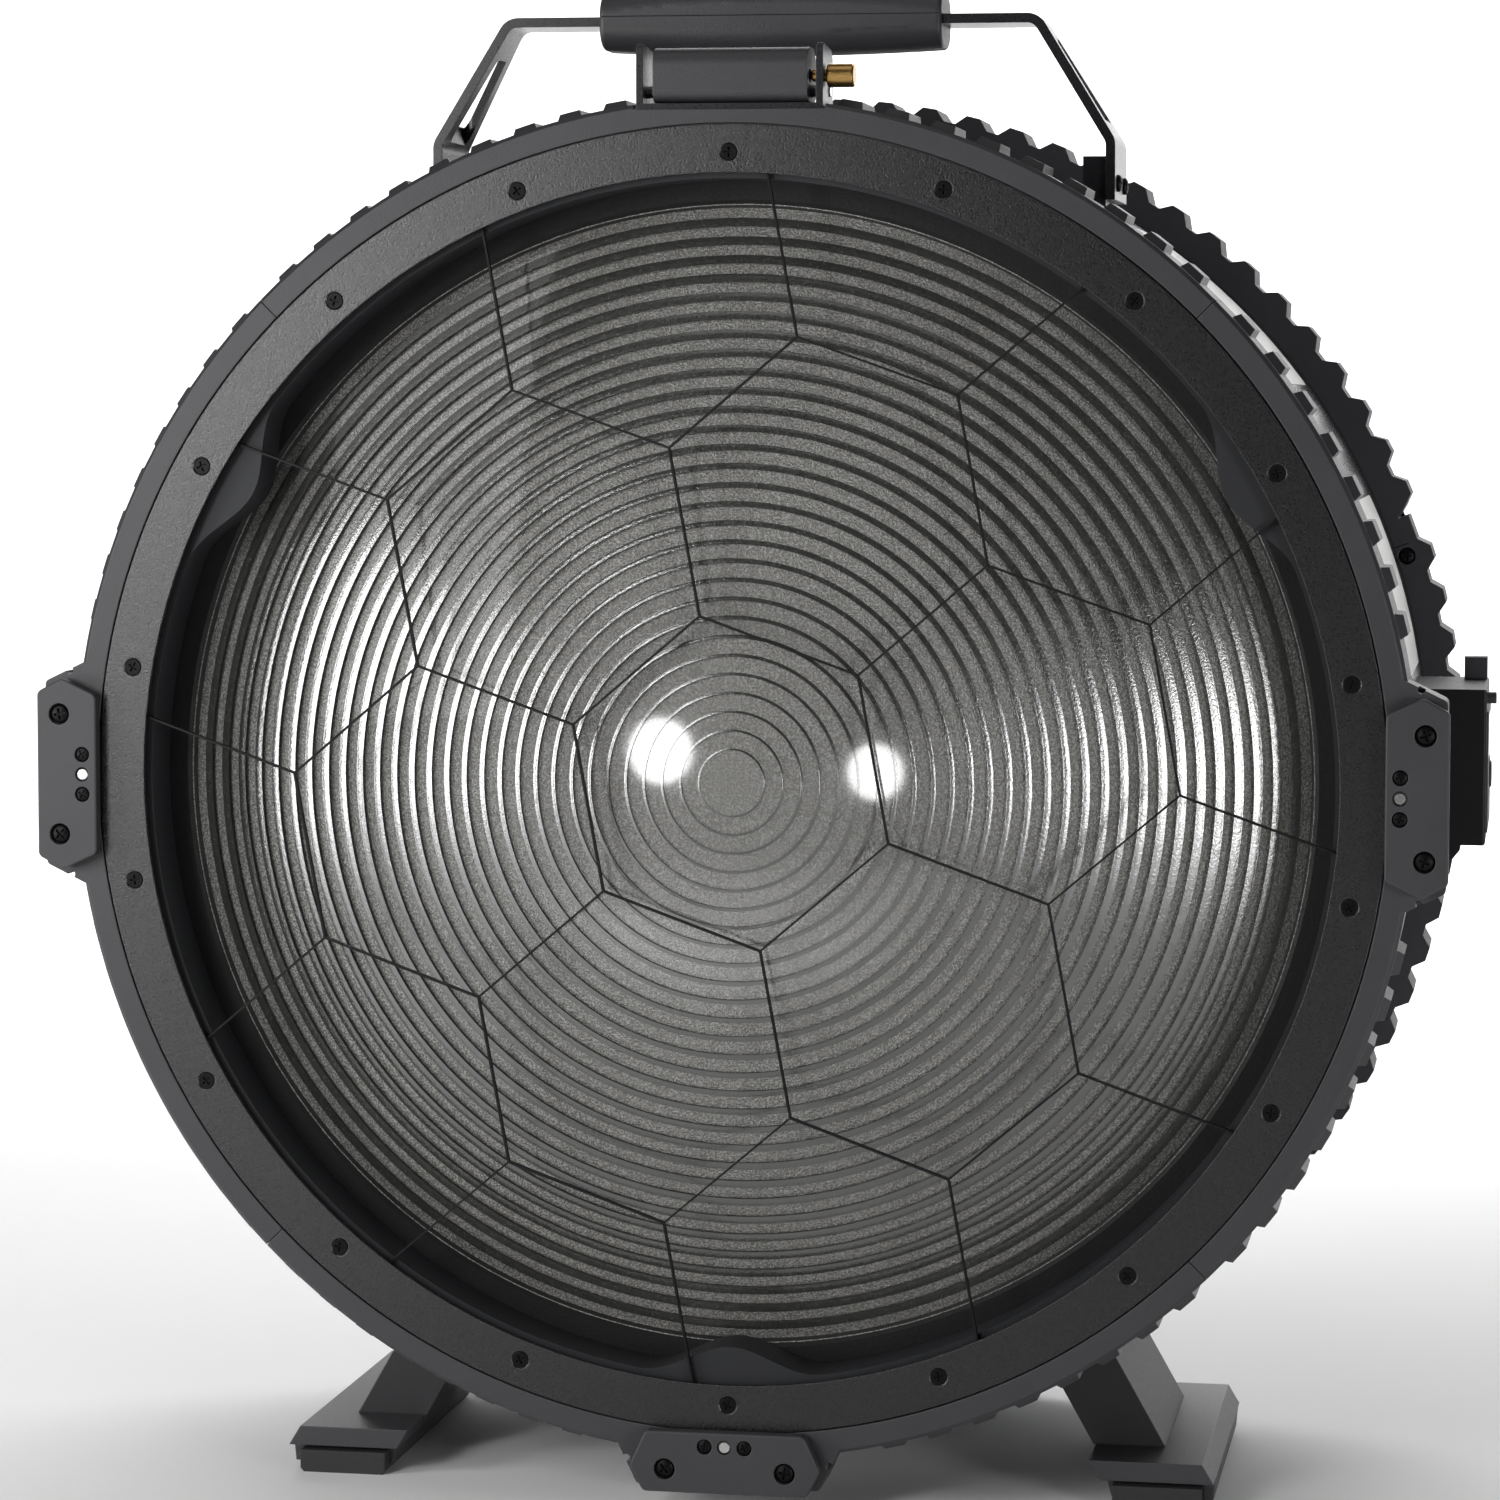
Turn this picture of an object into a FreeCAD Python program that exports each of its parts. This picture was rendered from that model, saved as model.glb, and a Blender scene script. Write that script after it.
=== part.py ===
import FreeCAD, Part
import math
import os
import re
import Sketcher
from FreeCAD import Placement, Rotation, Vector

# Large motorised fresnel head on two feet, with a carrying handle and a rear source mount.
# Every piece is drawn in a frontal frame: x to the right, y up, z towards the viewer along
# the optical axis, with z = 0 at the rear face of the source mount. FRONTAL then stands the
# pieces up, so that the finished part has +Z up, its front towards -Y and its origin in the
# centre of the mount's mouth.

doc = FreeCAD.newDocument("fresnel_head")
sheet = doc.addObject("Spreadsheet::Sheet", "dims")

# Driving dimensions in millimetres and degrees, all in the frontal frame.
DIMENSIONS = {
    # front plate and the screws round it
    "front_z": 372, "plate_thick": 3, "plate_inner_r": 305, "plate_outer_r": 328.5,
    "screw_circle_r": 315, "front_screw_count": 18, "front_hole_r": 2.2,
    "front_head_r": 4.15, "front_head_tall": 2.2, "front_screw_long": 12.2,
    # front bezel, a ring in four segments
    "bezel_outer_r": 342, "bezel_rear_z": 322, "bezel_inner_r": 329.5,
    "ledge_r": 316.5, "ledge_low_r": 309, "ledge_rear_z": 358, "ledge_step_z": 363.5,
    "rib_tip_r": 346, "rib_pitch": 4, "rib_front_z": 365, "rib_rear_z": 324,
    "ear_outer_r": 357, "ear_half_span": 47, "ear_root_half_span": 60, "ear_rear_z": 349,
    "latch_seat_y": 336, "latch_seat_half": 48.5,
    # wire guard
    "guard_rear_z": 366, "wire_thick": 1, "cell_edge": 85.5, "guard_turn": 40.5,
    # hood liner with three bulges over the lead screws
    "hood_inner_r": 302.5, "hood_wall": 2.5, "hood_rear_z": 339, "bulge_tall": 16,
    "bulge_half_angle": 9,
    # lens and the ring that carries it
    "lens_r": 300, "lens_edge_z": 336.5, "lens_edge_thick": 5.5, "lens_sag": 27,
    "lens_dome_r": 290, "lens_wall": 7, "disc_r": 16.5, "zone_pitch": 9.4,
    "zone_count": 29, "zone_slope": 0.34,
    "gasket_r": 302.8, "carriage_inner_r": 290, "carriage_outer_r": 326,
    "carriage_base_z": 320, "carriage_lip_r": 306, "retainer_thick": 1.5,
    # zoom drive
    "drive_r": 311, "drive_bore_r": 9, "drive_flange_r": 13, "lead_screw_r": 5,
    "lead_screw_front_z": 355, "lead_screw_rear_z": 84,
    "pulley_r": 10, "pulley_z": 90, "belt_wide": 7.6, "belt_thick": 1.5, "run_gap": 0.3,
    "motor_y": 290, "motor_side": 56, "motor_long": 52, "bulkhead_z": 98,
    "bulkhead_thick": 4, "bulkhead_inner_r": 150,
    # barrel and the toothed rear bumper
    "barrel_outer_r": 340, "barrel_inner_r": 336, "barrel_rear_z": 82,
    "bumper_front_z": 122, "bumper_root_r": 353.5, "bumper_tip_r": 359.2, "tooth_count": 90,
    "bumper_seam": 20, "bumper_screw_r": 345.2,
    # rear cover and source mount
    "mount_bore_r": 82, "mount_bore_deep": 30, "mount_outer_r": 112, "mount_flange_r": 138,
    "cover_outer_r": 350, "cover_rear_z": 34, "cover_wall": 3.5, "cover_cone_r": 150,
    "rear_screw_r": 344.5, "rear_bore_r": 2.05, "mount_screw_r": 125,
    "lock_ring_r": 126, "lock_sleeve_r": 118, "lock_lever_r": 158,
    # accessory brackets
    "bracket_inner_r": 327.3, "bracket_outer_r": 358.3, "bracket_half": 49,
    "bracket_front_z": 381, "slot_high": 2.5, "bracket_screw_r": 346.6,
    "bracket_screw_half": 30.8, "pin_circle_r": 334.5, "pin_screw_half": 10.2,
    # top latch
    "clevis_half": 47.2, "clevis_wall": 3.6, "clevis_top_y": 368.5,
    "clevis_rear_z": 343, "flap_half": 39,
    "flap_low_y": 339.6, "flap_top_y": 367, "flap_front_z": 370, "flap_rear_z": 345,
    "axle_y": 346, "axle_z": 351.4, "axle_r": 3, "knob_r": 5.9, "knob_y": 352.8,
    "knob_z": 362,
    # carrying handle
    "strap_thick": 5, "strap_top_y": 392, "strap_top_half": 141, "strap_tab_x": 181,
    "strap_tab_y": 327, "strap_low_y": 296, "strap_front_z": 265, "strap_top_wide": 30,
    "strap_tab_wide": 57, "grip_half": 90.5, "grip_top_y": 409.5, "grip_low_y": 372.5,
    "grip_end_drop": 5, "grip_deep": 37, "grip_round": 12, "handle_screw_y": 305,
    "handle_screw_front": 13, "handle_screw_rear": 44,
    # feet
    "foot_lean": 29.6, "strut_wide": 32.5, "strut_front_z": 298, "strut_deep": 108,
    "rail_top_y": -346, "rail_mid_y": -356, "rail_low_y": -366.5, "rail_front_z": 331,
    "rail_long": 171, "pad_low_y": -370, "rail_inner_x": 179, "rail_wide": 58,
    # control box on the right flank
    "box_outer_x": 374.4, "box_top_y": 47, "box_low_y": -32.5, "box_front_z": 284,
    "box_deep": 96, "box_wall": 2.4, "panel_proud": 1, "panel_inset": 2, "panel_tall": 62,
    "panel_margin": 5.8, "panel_gap": 0.2,
    "dial_r": 7, "mode_y": 42,
    # blank labels
    "label_front_z": 312, "label_rear_z": 166, "label_thick": 0.35,
}

FRONTAL = Placement(Vector(0, 0, 0), Rotation(Vector(1, 0, 0), 90))
ALONG = Vector(0, 0, 1)
ACROSS = Vector(1, 0, 0)
DRIVE_ANGLES = (30, 150, 270)
BRACKET_ANGLES = (0, 180, 270)
LABEL_SPANS = ((36.3, 56), (9, 24.8), (-29, -13))
PART_NAMES = []

for row, (alias, value) in enumerate(DIMENSIONS.items(), start=1):
    sheet.set(f"A{row}", alias)
    sheet.set(f"B{row}", str(value))
    sheet.setAlias(f"B{row}", alias)
doc.recompute()


def size(alias):
    """One driving dimension, read from the sheet."""
    return float(sheet.get(alias))


def formula(text):
    """A sheet expression from text that names aliases, such as 'front_z - plate_thick'."""
    return re.sub(r"\b([a-z]\w*)\b", r"dims.\1", text)


def solve(text):
    """The present value of a formula."""
    return float(sheet.evalExpression(formula(text)))


# ---------------------------------------------------------------- modelling helpers

def finish_part(item, label, stand=FRONTAL):
    """Names a finished sub-part and stands it up in the row frame."""
    item.Label = label
    item.Placement = stand
    PART_NAMES.append(item.Name)
    return item


def code_part(label, shape):
    """A sub-part whose shape comes from Part's own functions."""
    item = doc.addObject("Part::Feature", label)
    item.Shape = shape
    return finish_part(item, label, FRONTAL.multiply(shape.Placement))


def new_body(label):
    item = doc.addObject("PartDesign::Body", label)
    return finish_part(item, label)


def origin_feature(body, role):
    return next(f for f in body.Origin.OriginFeatures if f.Role == role)


def new_sketch(body, role="XY_Plane", lift=None):
    sketch = body.newObject("Sketcher::SketchObject", body.Label + "_sketch")
    sketch.AttachmentSupport = (origin_feature(body, role), [""])
    sketch.MapMode = "FlatFace"
    if lift:
        sketch.setExpression("AttachmentOffset.Base.z", formula(lift))
    return sketch


def pin_point(sketch, geometry, point, corner):
    """Fixes one point of a sketch at two sheet formulas."""
    for kind, text in zip(("DistanceX", "DistanceY"), corner):
        index = sketch.addConstraint(
            Sketcher.Constraint(kind, -1, 1, geometry, point, solve(text)))
        sketch.setExpression(f"Constraints[{index}]", formula(text))


def draw_polygon(sketch, corners):
    """A closed outline with each corner given as two sheet formulas."""
    places = [Vector(solve(a), solve(b), 0) for a, b in corners]
    count = len(corners)
    first = sketch.GeometryCount
    for i in range(count):
        sketch.addGeometry(Part.LineSegment(places[i], places[(i + 1) % count]), False)
    for i in range(count):
        sketch.addConstraint(
            Sketcher.Constraint("Coincident", first + i, 2, first + (i + 1) % count, 1))
    for i, corner in enumerate(corners):
        pin_point(sketch, first + i, 1, corner)


def draw_circle(sketch, radius, centre=("0", "0")):
    place = Vector(solve(centre[0]), solve(centre[1]), 0)
    index = sketch.addGeometry(Part.Circle(place, Vector(0, 0, 1), solve(radius)), False)
    pin_point(sketch, index, 3, centre)
    rule = sketch.addConstraint(Sketcher.Constraint("Radius", index, solve(radius)))
    sketch.setExpression(f"Constraints[{rule}]", formula(radius))


def pad(body, sketch, length):
    feature = body.newObject("PartDesign::Pad", body.Label + "_pad")
    feature.Profile = sketch
    feature.setExpression("Length", formula(length))
    body.Tip = feature
    return feature


def pocket(body, sketch, depth):
    feature = body.newObject("PartDesign::Pocket", body.Label + "_pocket")
    feature.Profile = sketch
    feature.setExpression("Length", formula(depth))
    body.Tip = feature
    return feature


def polar(body, features, count):
    pattern = body.newObject("PartDesign::PolarPattern", body.Label + "_pattern")
    pattern.Originals = features
    pattern.Axis = (origin_feature(body, "Z_Axis"), [""])
    pattern.Angle = 360
    pattern.Occurrences = count
    body.Tip = pattern
    return pattern


def turned_body(label, corners):
    """A turned piece: an outline of (radius, z) formulas revolved about the optical axis."""
    body = new_body(label)
    sketch = new_sketch(body, "XZ_Plane")
    draw_polygon(sketch, corners)
    turn = body.newObject("PartDesign::Revolution", label + "_turn")
    turn.Profile = sketch
    turn.ReferenceAxis = (sketch, ["V_Axis"])
    turn.Angle = 360
    body.Tip = turn
    return body


def plate_body(label, corners, low, high):
    """A flat piece: an outline of (x, y) formulas padded between two heights."""
    body = new_body(label)
    sketch = new_sketch(body, lift=low)
    draw_polygon(sketch, corners)
    pad(body, sketch, f"{high} - ({low})")
    return body


def box_object(name, low, high):
    """A Part::Box between two corners given as sheet formulas."""
    item = doc.addObject("Part::Box", name)
    for side, a, b in zip(("Length", "Width", "Height"), low, high):
        item.setExpression(side, formula(f"({b}) - ({a})"))
    for axis, text in zip("xyz", low):
        item.setExpression(f"Placement.Base.{axis}", formula(text))
    return item


def cylinder_object(name, radius, low, high, centre=("0", "0")):
    """A Part::Cylinder along z between two heights, given as sheet formulas."""
    item = doc.addObject("Part::Cylinder", name)
    item.setExpression("Radius", formula(radius))
    item.setExpression("Height", formula(f"({high}) - ({low})"))
    for axis, text in zip("xyz", (*centre, low)):
        item.setExpression(f"Placement.Base.{axis}", formula(text))
    return item


def boolean(kind, name, base, tool):
    item = doc.addObject(f"Part::{kind}", name)
    item.Base = base
    item.Tool = tool
    return item


def at_angle(degrees, radius, z=0.0):
    turn = math.radians(degrees)
    return Vector(radius * math.cos(turn), radius * math.sin(turn), z)


def about_axis(shape, degrees):
    """A copy of a shape, turned about the optical axis."""
    turned = shape.copy()
    turned.rotate(Vector(0, 0, 0), Vector(0, 0, 1), degrees)
    return turned


def prism(points, low, high):
    """A solid with a flat outline of points, between two heights."""
    loop = [Vector(x, y, low) for x, y in points]
    wire = Part.makePolygon(loop + loop[:1])
    return Part.Face(wire).extrude(Vector(0, 0, high - low))


def ring(inner, outer, low, high):
    solid = Part.makeCylinder(outer, high - low, Vector(0, 0, low))
    return solid.cut(Part.makeCylinder(inner, high - low, Vector(0, 0, low)))


def turned(points):
    """A solid of revolution about z from (radius, z) points."""
    loop = [Vector(r, 0, z) for r, z in points]
    face = Part.Face(Part.makePolygon(loop + loop[:1]))
    return face.revolve(Vector(0, 0, 0), Vector(0, 0, 1), 360)


def sector(inner, outer, start, end, low, high):
    """A slice of a ring between two angles in degrees."""
    middle = (start + end) / 2
    corners = [at_angle(start, inner, low), at_angle(end, inner, low),
               at_angle(end, outer, low), at_angle(start, outer, low)]
    edges = [Part.Arc(corners[0], at_angle(middle, inner, low), corners[1]).toShape(),
             Part.makeLine(corners[1], corners[2]),
             Part.Arc(corners[2], at_angle(middle, outer, low), corners[3]).toShape(),
             Part.makeLine(corners[3], corners[0])]
    return Part.Face(Part.Wire(edges)).extrude(Vector(0, 0, high - low))


def cross_recess(reach, depth, width):
    """The Phillips recess below z = 0."""
    arm = Part.makeBox(2 * reach, width, depth, Vector(-reach, -width / 2, -depth))
    return arm.fuse(about_axis(arm, 90))


def flat_screw(head_r, head_tall, shank_r, shank_long):
    """A countersunk Phillips screw with its head's face at z = 0, pointing to -z."""
    solid = turned([(0, 0), (head_r - 0.25, 0), (head_r, -0.3), (shank_r, -head_tall),
                    (shank_r, -shank_long), (0, -shank_long)])
    return solid.cut(cross_recess(0.62 * head_r, 0.6 * head_tall, 0.26 * head_r))


def pan_screw(head_r, head_tall, shank_r, shank_long):
    """A domed Phillips screw whose head stands on z = 0."""
    dome = [(head_r * math.cos(a), head_tall * (0.35 + 0.65 * math.sin(a)))
            for a in (0, 0.35, 0.75, 1.15)]
    solid = turned([(0, head_tall)] + dome[::-1] + [(head_r, 0), (shank_r, 0),
                   (shank_r, -shank_long), (0, -shank_long)])
    recess = cross_recess(0.6 * head_r, 0.62 * head_tall, 0.26 * head_r)
    recess.translate(Vector(0, 0, head_tall))
    return solid.cut(recess)


def placed(shape, place, axis=Vector(0, 0, 1), spin=0.0):
    """A copy of a shape whose +z points along axis at a place, spun about itself first."""
    copy = shape.copy()
    turn = Rotation(Vector(0, 0, 1), axis) * Rotation(Vector(0, 0, 1), spin)
    copy.Placement = Placement(place, turn)
    return copy


# ---------------------------------------------------------------- front of the head

def make_front_plate():
    """Flat ring that clamps the guard, with countersunk holes."""
    body = new_body("front_plate")
    outline = new_sketch(body, lift="front_z - plate_thick")
    draw_circle(outline, "plate_outer_r")
    draw_circle(outline, "plate_inner_r")
    pad(body, outline, "plate_thick")
    hole = new_sketch(body, lift="front_z")
    draw_circle(hole, "front_hole_r", ("0", "screw_circle_r"))
    drilled = pocket(body, hole, "plate_thick + 1")
    doc.recompute()
    sink = body.newObject("PartDesign::SubtractiveCone", "front_plate_sink")
    sink.setExpression("Radius1", formula("front_hole_r"))
    sink.setExpression("Radius2", formula("front_head_r + 0.65"))
    sink.setExpression("Height", formula("front_head_tall"))
    sink.AttachmentSupport = (origin_feature(body, "XY_Plane"), [""])
    sink.MapMode = "FlatFace"
    sink.setExpression("AttachmentOffset.Base.y", formula("screw_circle_r"))
    sink.setExpression("AttachmentOffset.Base.z", formula("front_z - front_head_tall"))
    body.Tip = sink
    polar(body, [drilled, sink], int(size("front_screw_count")))


def drilled_for_screws(shape):
    """A shape with the front screws' holes drilled down to their tips."""
    count = int(size("front_screw_count"))
    low = size("front_z") - size("front_screw_long")
    holes = [Part.makeCylinder(2, size("front_z") - low,
                               at_angle(90 + 360 / count * i, size("screw_circle_r"), low))
             for i in range(count)]
    return shape.cut(holes)


def make_front_screws():
    """The countersunk screws of the front plate, each turned a little differently."""
    count = int(size("front_screw_count"))
    screw = flat_screw(size("front_head_r"), size("front_head_tall"), 1.9,
                       size("front_screw_long") - 0.3)
    top = size("front_z") - 0.15
    screws = [placed(screw, at_angle(90 + 360 / count * i, size("screw_circle_r"), top),
                     spin=37 * i) for i in range(count)]
    code_part("front_plate_screws", Part.makeCompound(screws))


def honeycomb_edges(edge, turn, rim):
    """The centre cell, its six neighbours and the spokes that run on to the rim."""
    def corner(cx, cy, k):
        return (round(cx + edge * math.cos(math.radians(turn + 60 * k)), 3),
                round(cy + edge * math.sin(math.radians(turn + 60 * k)), 3))

    centres = [(0.0, 0.0)] + [tuple(at_angle(turn + 30 + 60 * k, edge * math.sqrt(3)))[:2]
                              for k in range(6)]
    edges = set()
    for cx, cy in centres:
        for k in range(6):
            a, b = corner(cx, cy, k), corner(cx, cy, k + 1)
            edges.add((min(a, b), max(a, b)))
    merged = {}
    for a, b in edges:
        key = (round((a[0] + b[0]) / 2), round((a[1] + b[1]) / 2))
        merged[key] = (a, b)
    edges = [(Vector(*a, 0), Vector(*b, 0)) for a, b in merged.values()]
    ends = [p for pair in edges for p in pair]
    spokes = []
    for k in range(6):
        along = at_angle(turn + 60 * k, 1)
        for side in (-1, 1):
            start = at_angle(turn + 60 * k + side * math.degrees(math.atan2(0.75 ** 0.5, 2.5)),
                             edge * math.sqrt(7))
            start = min(ends, key=start.distanceToPoint)
            lean = start.dot(along)
            run = -lean + math.sqrt(lean ** 2 + rim ** 2 - start.Length ** 2)
            spokes.append((start, start + along * run))
    return edges + spokes


def make_wire_guard():
    """Honeycomb of thin blades on edge, in a rim that the front plate clamps."""
    low = size("guard_rear_z")
    high = size("front_z") - size("plate_thick")
    thick = size("wire_thick")
    solid = ring(size("plate_inner_r") + 1.0, size("ledge_r") - 0.5, low, high)
    blades = []
    for a, b in honeycomb_edges(size("cell_edge"), size("guard_turn"),
                                size("plate_inner_r") + 3):
        run = b - a
        blade = Part.makeBox(run.Length + thick, thick, high - low,
                             Vector(-thick / 2, -thick / 2, 0))
        blade.Placement = Placement(Vector(a.x, a.y, low), Rotation(Vector(1, 0, 0), run))
        blades.append(blade)
    code_part("wire_guard", drilled_for_screws(solid.fuse(blades).removeSplitter()))


def bezel_ring():
    """The full bezel's cross-section turned about the axis, before it is cut in four."""
    outer, front = size("bezel_outer_r"), size("front_z")
    return turned([
        (outer, size("bezel_rear_z")), (outer, front - 2), (outer - 2, front),
        (size("bezel_inner_r"), front), (size("bezel_inner_r"), front - size("plate_thick")),
        (size("ledge_r"), front - size("plate_thick")), (size("ledge_r"), size("ledge_step_z")),
        (size("ledge_low_r"), size("ledge_step_z")), (size("ledge_low_r"), size("ledge_rear_z")),
        (size("bezel_inner_r"), size("ledge_rear_z")),
        (size("bezel_inner_r"), size("bezel_rear_z")),
    ])


def rib(degrees):
    """One raised rib on the bezel's flank, with sloped sides and a sloped front end."""
    root, tip = size("bezel_outer_r") - 1, size("rib_tip_r")
    outline = [tuple(at_angle(degrees + a, r))[:2]
               for a, r in ((-1.15, root), (1.15, root), (0.85, tip), (-0.85, tip))]
    low, high = size("rib_rear_z"), size("rib_front_z")
    solid = prism(outline, low, high)
    slope = Part.makeCone(tip + 1, root, 6, Vector(0, 0, high - 6))
    keep = slope.fuse(Part.makeCylinder(tip + 1, high - 6 - low, Vector(0, 0, low)))
    return solid.common(keep)


def ear():
    """The ear on the right that carries an accessory bracket, with its two small holes."""
    span, root = size("ear_half_span"), size("ear_root_half_span")
    outer = size("ear_outer_r")
    outline = [(330, -root), (outer, -span), (outer, span), (330, root)]
    solid = prism(outline, size("ear_rear_z"), size("front_z"))
    solid = solid.makeFillet(3, [e for e in solid.Edges
                                 if abs(e.CenterOfMass.x - outer) < 0.1
                                 and abs(abs(e.CenterOfMass.y) - span) < 0.1])
    solid = solid.cut(Part.makeCylinder(size("bezel_outer_r") - 4, 60, Vector(0, 0, 330)))
    for side in (-1, 1):
        solid = solid.cut(Part.makeCylinder(
            1.9, 10, Vector(size("bezel_outer_r") + 2, side * 52.5, size("front_z") - 10)))
        solid = solid.cut(Part.makeCylinder(
            2.2, 30, Vector(size("bracket_screw_r"), side * size("bracket_screw_half"), 345)))
    return solid


def make_bezels():
    """Four bezel segments: three with an ear, and the top one with a flat latch seat."""
    whole = bezel_ring()
    rib_angles = [size("rib_pitch") * (i + 0.5) for i in range(-11, 11)]
    for label, middle in (("bezel_right", 0), ("bezel_top", 90), ("bezel_left", 180),
                          ("bezel_bottom", 270)):
        gap = 0.04
        piece = about_axis(whole, middle).common(
            sector(300, 350, middle - 45 + gap, middle + 45 - gap,
                   size("bezel_rear_z"), size("front_z")))
        has_ear = middle in BRACKET_ANGLES
        clear = 10.5 if has_ear else 8.5
        ribs = [rib(middle + a) for a in rib_angles if abs(a) > clear]
        piece = piece.fuse(ribs)
        if has_ear:
            piece = piece.fuse(about_axis(ear(), middle))
        else:
            half, seat = size("latch_seat_half"), size("latch_seat_y")
            piece = piece.cut(Part.makeBox(2 * half, 30, 60, Vector(-half, seat, 318)))
        for side in (-0.62, 0.62):
            place = at_angle(middle + 45 * side, 335.8, size("bezel_rear_z"))
            piece = piece.cut(Part.makeCylinder(1.7, 20, place))
        code_part(label, drilled_for_screws(piece.removeSplitter()))


def bulged_loop(base, z):
    """A closed curve of radius base with a smooth inward bulge at each lead screw."""
    half, tall = size("bulge_half_angle"), size("bulge_tall")
    points = []
    for i in range(180):
        angle = 2.0 * i
        away = min(abs((angle - middle + 180) % 360 - 180) for middle in DRIVE_ANGLES)
        dip = math.cos(math.pi * away / (2 * half)) ** 2 if away < half else 0.0
        points.append(at_angle(angle, base - tall * dip, z))
    curve = Part.BSplineCurve()
    curve.interpolate(Points=points, PeriodicFlag=True)
    return Part.Wire(curve.toShape())


def make_hood():
    """Thin liner between the front plate and the lens, bulged inwards over the drive."""
    low, high = size("hood_rear_z"), size("guard_rear_z")
    inner = size("hood_inner_r")
    outer = inner + size("hood_wall")
    wall = Part.Face(bulged_loop(outer, low)).extrude(Vector(0, 0, high - low))
    flange = Part.makeCylinder(size("ledge_r") - 0.5, high - size("ledge_step_z"),
                               Vector(0, 0, size("ledge_step_z")))
    bore = Part.Face(bulged_loop(inner, low - 1)).extrude(Vector(0, 0, high - low + 2))
    code_part("hood_liner", drilled_for_screws(wall.fuse(flange).cut(bore)))


# ---------------------------------------------------------------- lens and carriage

def dome_height(radius):
    """Height of the lens's front envelope at a radius."""
    edge, sag = size("lens_dome_r"), size("lens_sag")
    curve = (edge ** 2 + sag ** 2) / (2 * sag)
    drop = curve - math.sqrt(curve ** 2 - min(radius, edge) ** 2)
    return size("lens_edge_z") + sag - drop


def make_lens():
    """Fresnel lens: a smooth centre disc, then stepped zones on a domed envelope."""
    centre, pitch = size("disc_r"), size("zone_pitch")
    points = [(0, dome_height(0)), (centre, dome_height(centre) - 0.1)]
    for i in range(int(size("zone_count"))):
        start = centre + pitch * i
        end = min(start + pitch, size("lens_dome_r"))
        fall = size("zone_slope") * (start / size("lens_dome_r")) * (end - start)
        points.append((start + 0.15, dome_height(start)))
        points.append((end, dome_height(end) - fall - 0.1))
    edge_z, edge_r = size("lens_edge_z"), size("lens_r")
    points.append((size("lens_dome_r") + 0.3, edge_z))
    points.append((edge_r, edge_z))
    points.append((edge_r, edge_z - size("lens_edge_thick")))
    points.append((size("carriage_inner_r") - 1, edge_z - size("lens_edge_thick")))
    points += [(r, dome_height(r) - size("lens_wall"))
               for r in (286, 250, 210, 170, 130, 90, 45, 0)]
    code_part("fresnel_lens", turned(points))


def make_lens_rings():
    """The rubber edge gasket and the thin ring that keeps the lens in its carriage."""
    seat = "lens_edge_z - lens_edge_thick"
    turned_body("lens_gasket", [
        ("lens_r", seat), ("gasket_r", seat), ("gasket_r", "lens_edge_z"),
        ("lens_r", "lens_edge_z")])
    turned_body("lens_retaining_ring", [
        ("lens_dome_r + 1", "lens_edge_z + 0.1"), ("carriage_lip_r", "lens_edge_z + 0.1"),
        ("carriage_lip_r", "lens_edge_z + 0.1 + retainer_thick"),
        ("lens_dome_r + 3", "lens_edge_z + 0.1 + retainer_thick")])


def make_carriage():
    """Ring that carries the lens, with three bores for the lead nuts."""
    seat = "lens_edge_z - lens_edge_thick"
    body = turned_body("lens_carriage", [
        ("carriage_inner_r", "carriage_base_z"), ("carriage_outer_r", "carriage_base_z"),
        ("carriage_outer_r", seat), ("carriage_lip_r", seat),
        ("carriage_lip_r", "lens_edge_z + 0.1"), ("gasket_r", "lens_edge_z + 0.1"),
        ("gasket_r", seat), ("carriage_inner_r", seat)])
    doc.recompute()
    hole = new_sketch(body, lift="lens_edge_z + 1")
    draw_circle(hole, "drive_bore_r", ("0", "-drive_r"))
    cut = pocket(body, hole, "30")
    polar(body, [cut], 3)


def make_lead_nuts():
    """Three flanged brass nuts that press up into the carriage."""
    bore, flange, sleeve = size("lead_screw_r") + 0.05, size("drive_flange_r"), size("drive_bore_r")
    shape = turned([(bore, 0), (flange, 0), (flange, 4), (sleeve, 4), (sleeve, 13), (bore, 13)])
    base = size("carriage_base_z") - 4
    nuts = [placed(shape, at_angle(a, size("drive_r"), base)) for a in DRIVE_ANGLES]
    code_part("lead_nuts", Part.makeCompound(nuts))


# ---------------------------------------------------------------- zoom drive

def turned_about(label, place, axis, corners):
    """A turned body whose own axis passes through a place and points along axis."""
    body = turned_body(label, corners)
    turn = Rotation(Vector(0, 0, 1), axis)
    body.Placement = FRONTAL.multiply(Placement(place, turn))
    return body


PULLEY = [("pulley_r + 2", "pulley_z + 5"), ("pulley_r + 2", "pulley_z + 4.1"),
          ("pulley_r", "pulley_z + 4.1"), ("pulley_r", "pulley_z - 4.1"),
          ("pulley_r + 2", "pulley_z - 4.1"), ("pulley_r + 2", "pulley_z - 5")]


def make_lead_screws():
    """Three lead screws, each with its belt pulley pinned on."""
    for number, angle in enumerate(DRIVE_ANGLES, start=1):
        turned_about(f"lead_screw_{number}", at_angle(angle, size("drive_r")), ALONG, [
            ("0", "lead_screw_front_z"), ("lead_screw_r - 1", "lead_screw_front_z"),
            ("lead_screw_r - 1", "lead_screw_front_z - 9"),
            ("lead_screw_r", "lead_screw_front_z - 9.5"),
            ("lead_screw_r", "pulley_z + 5"), *PULLEY,
            ("lead_screw_r", "pulley_z - 5"), ("lead_screw_r", "lead_screw_rear_z"),
            ("0", "lead_screw_rear_z")])


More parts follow.
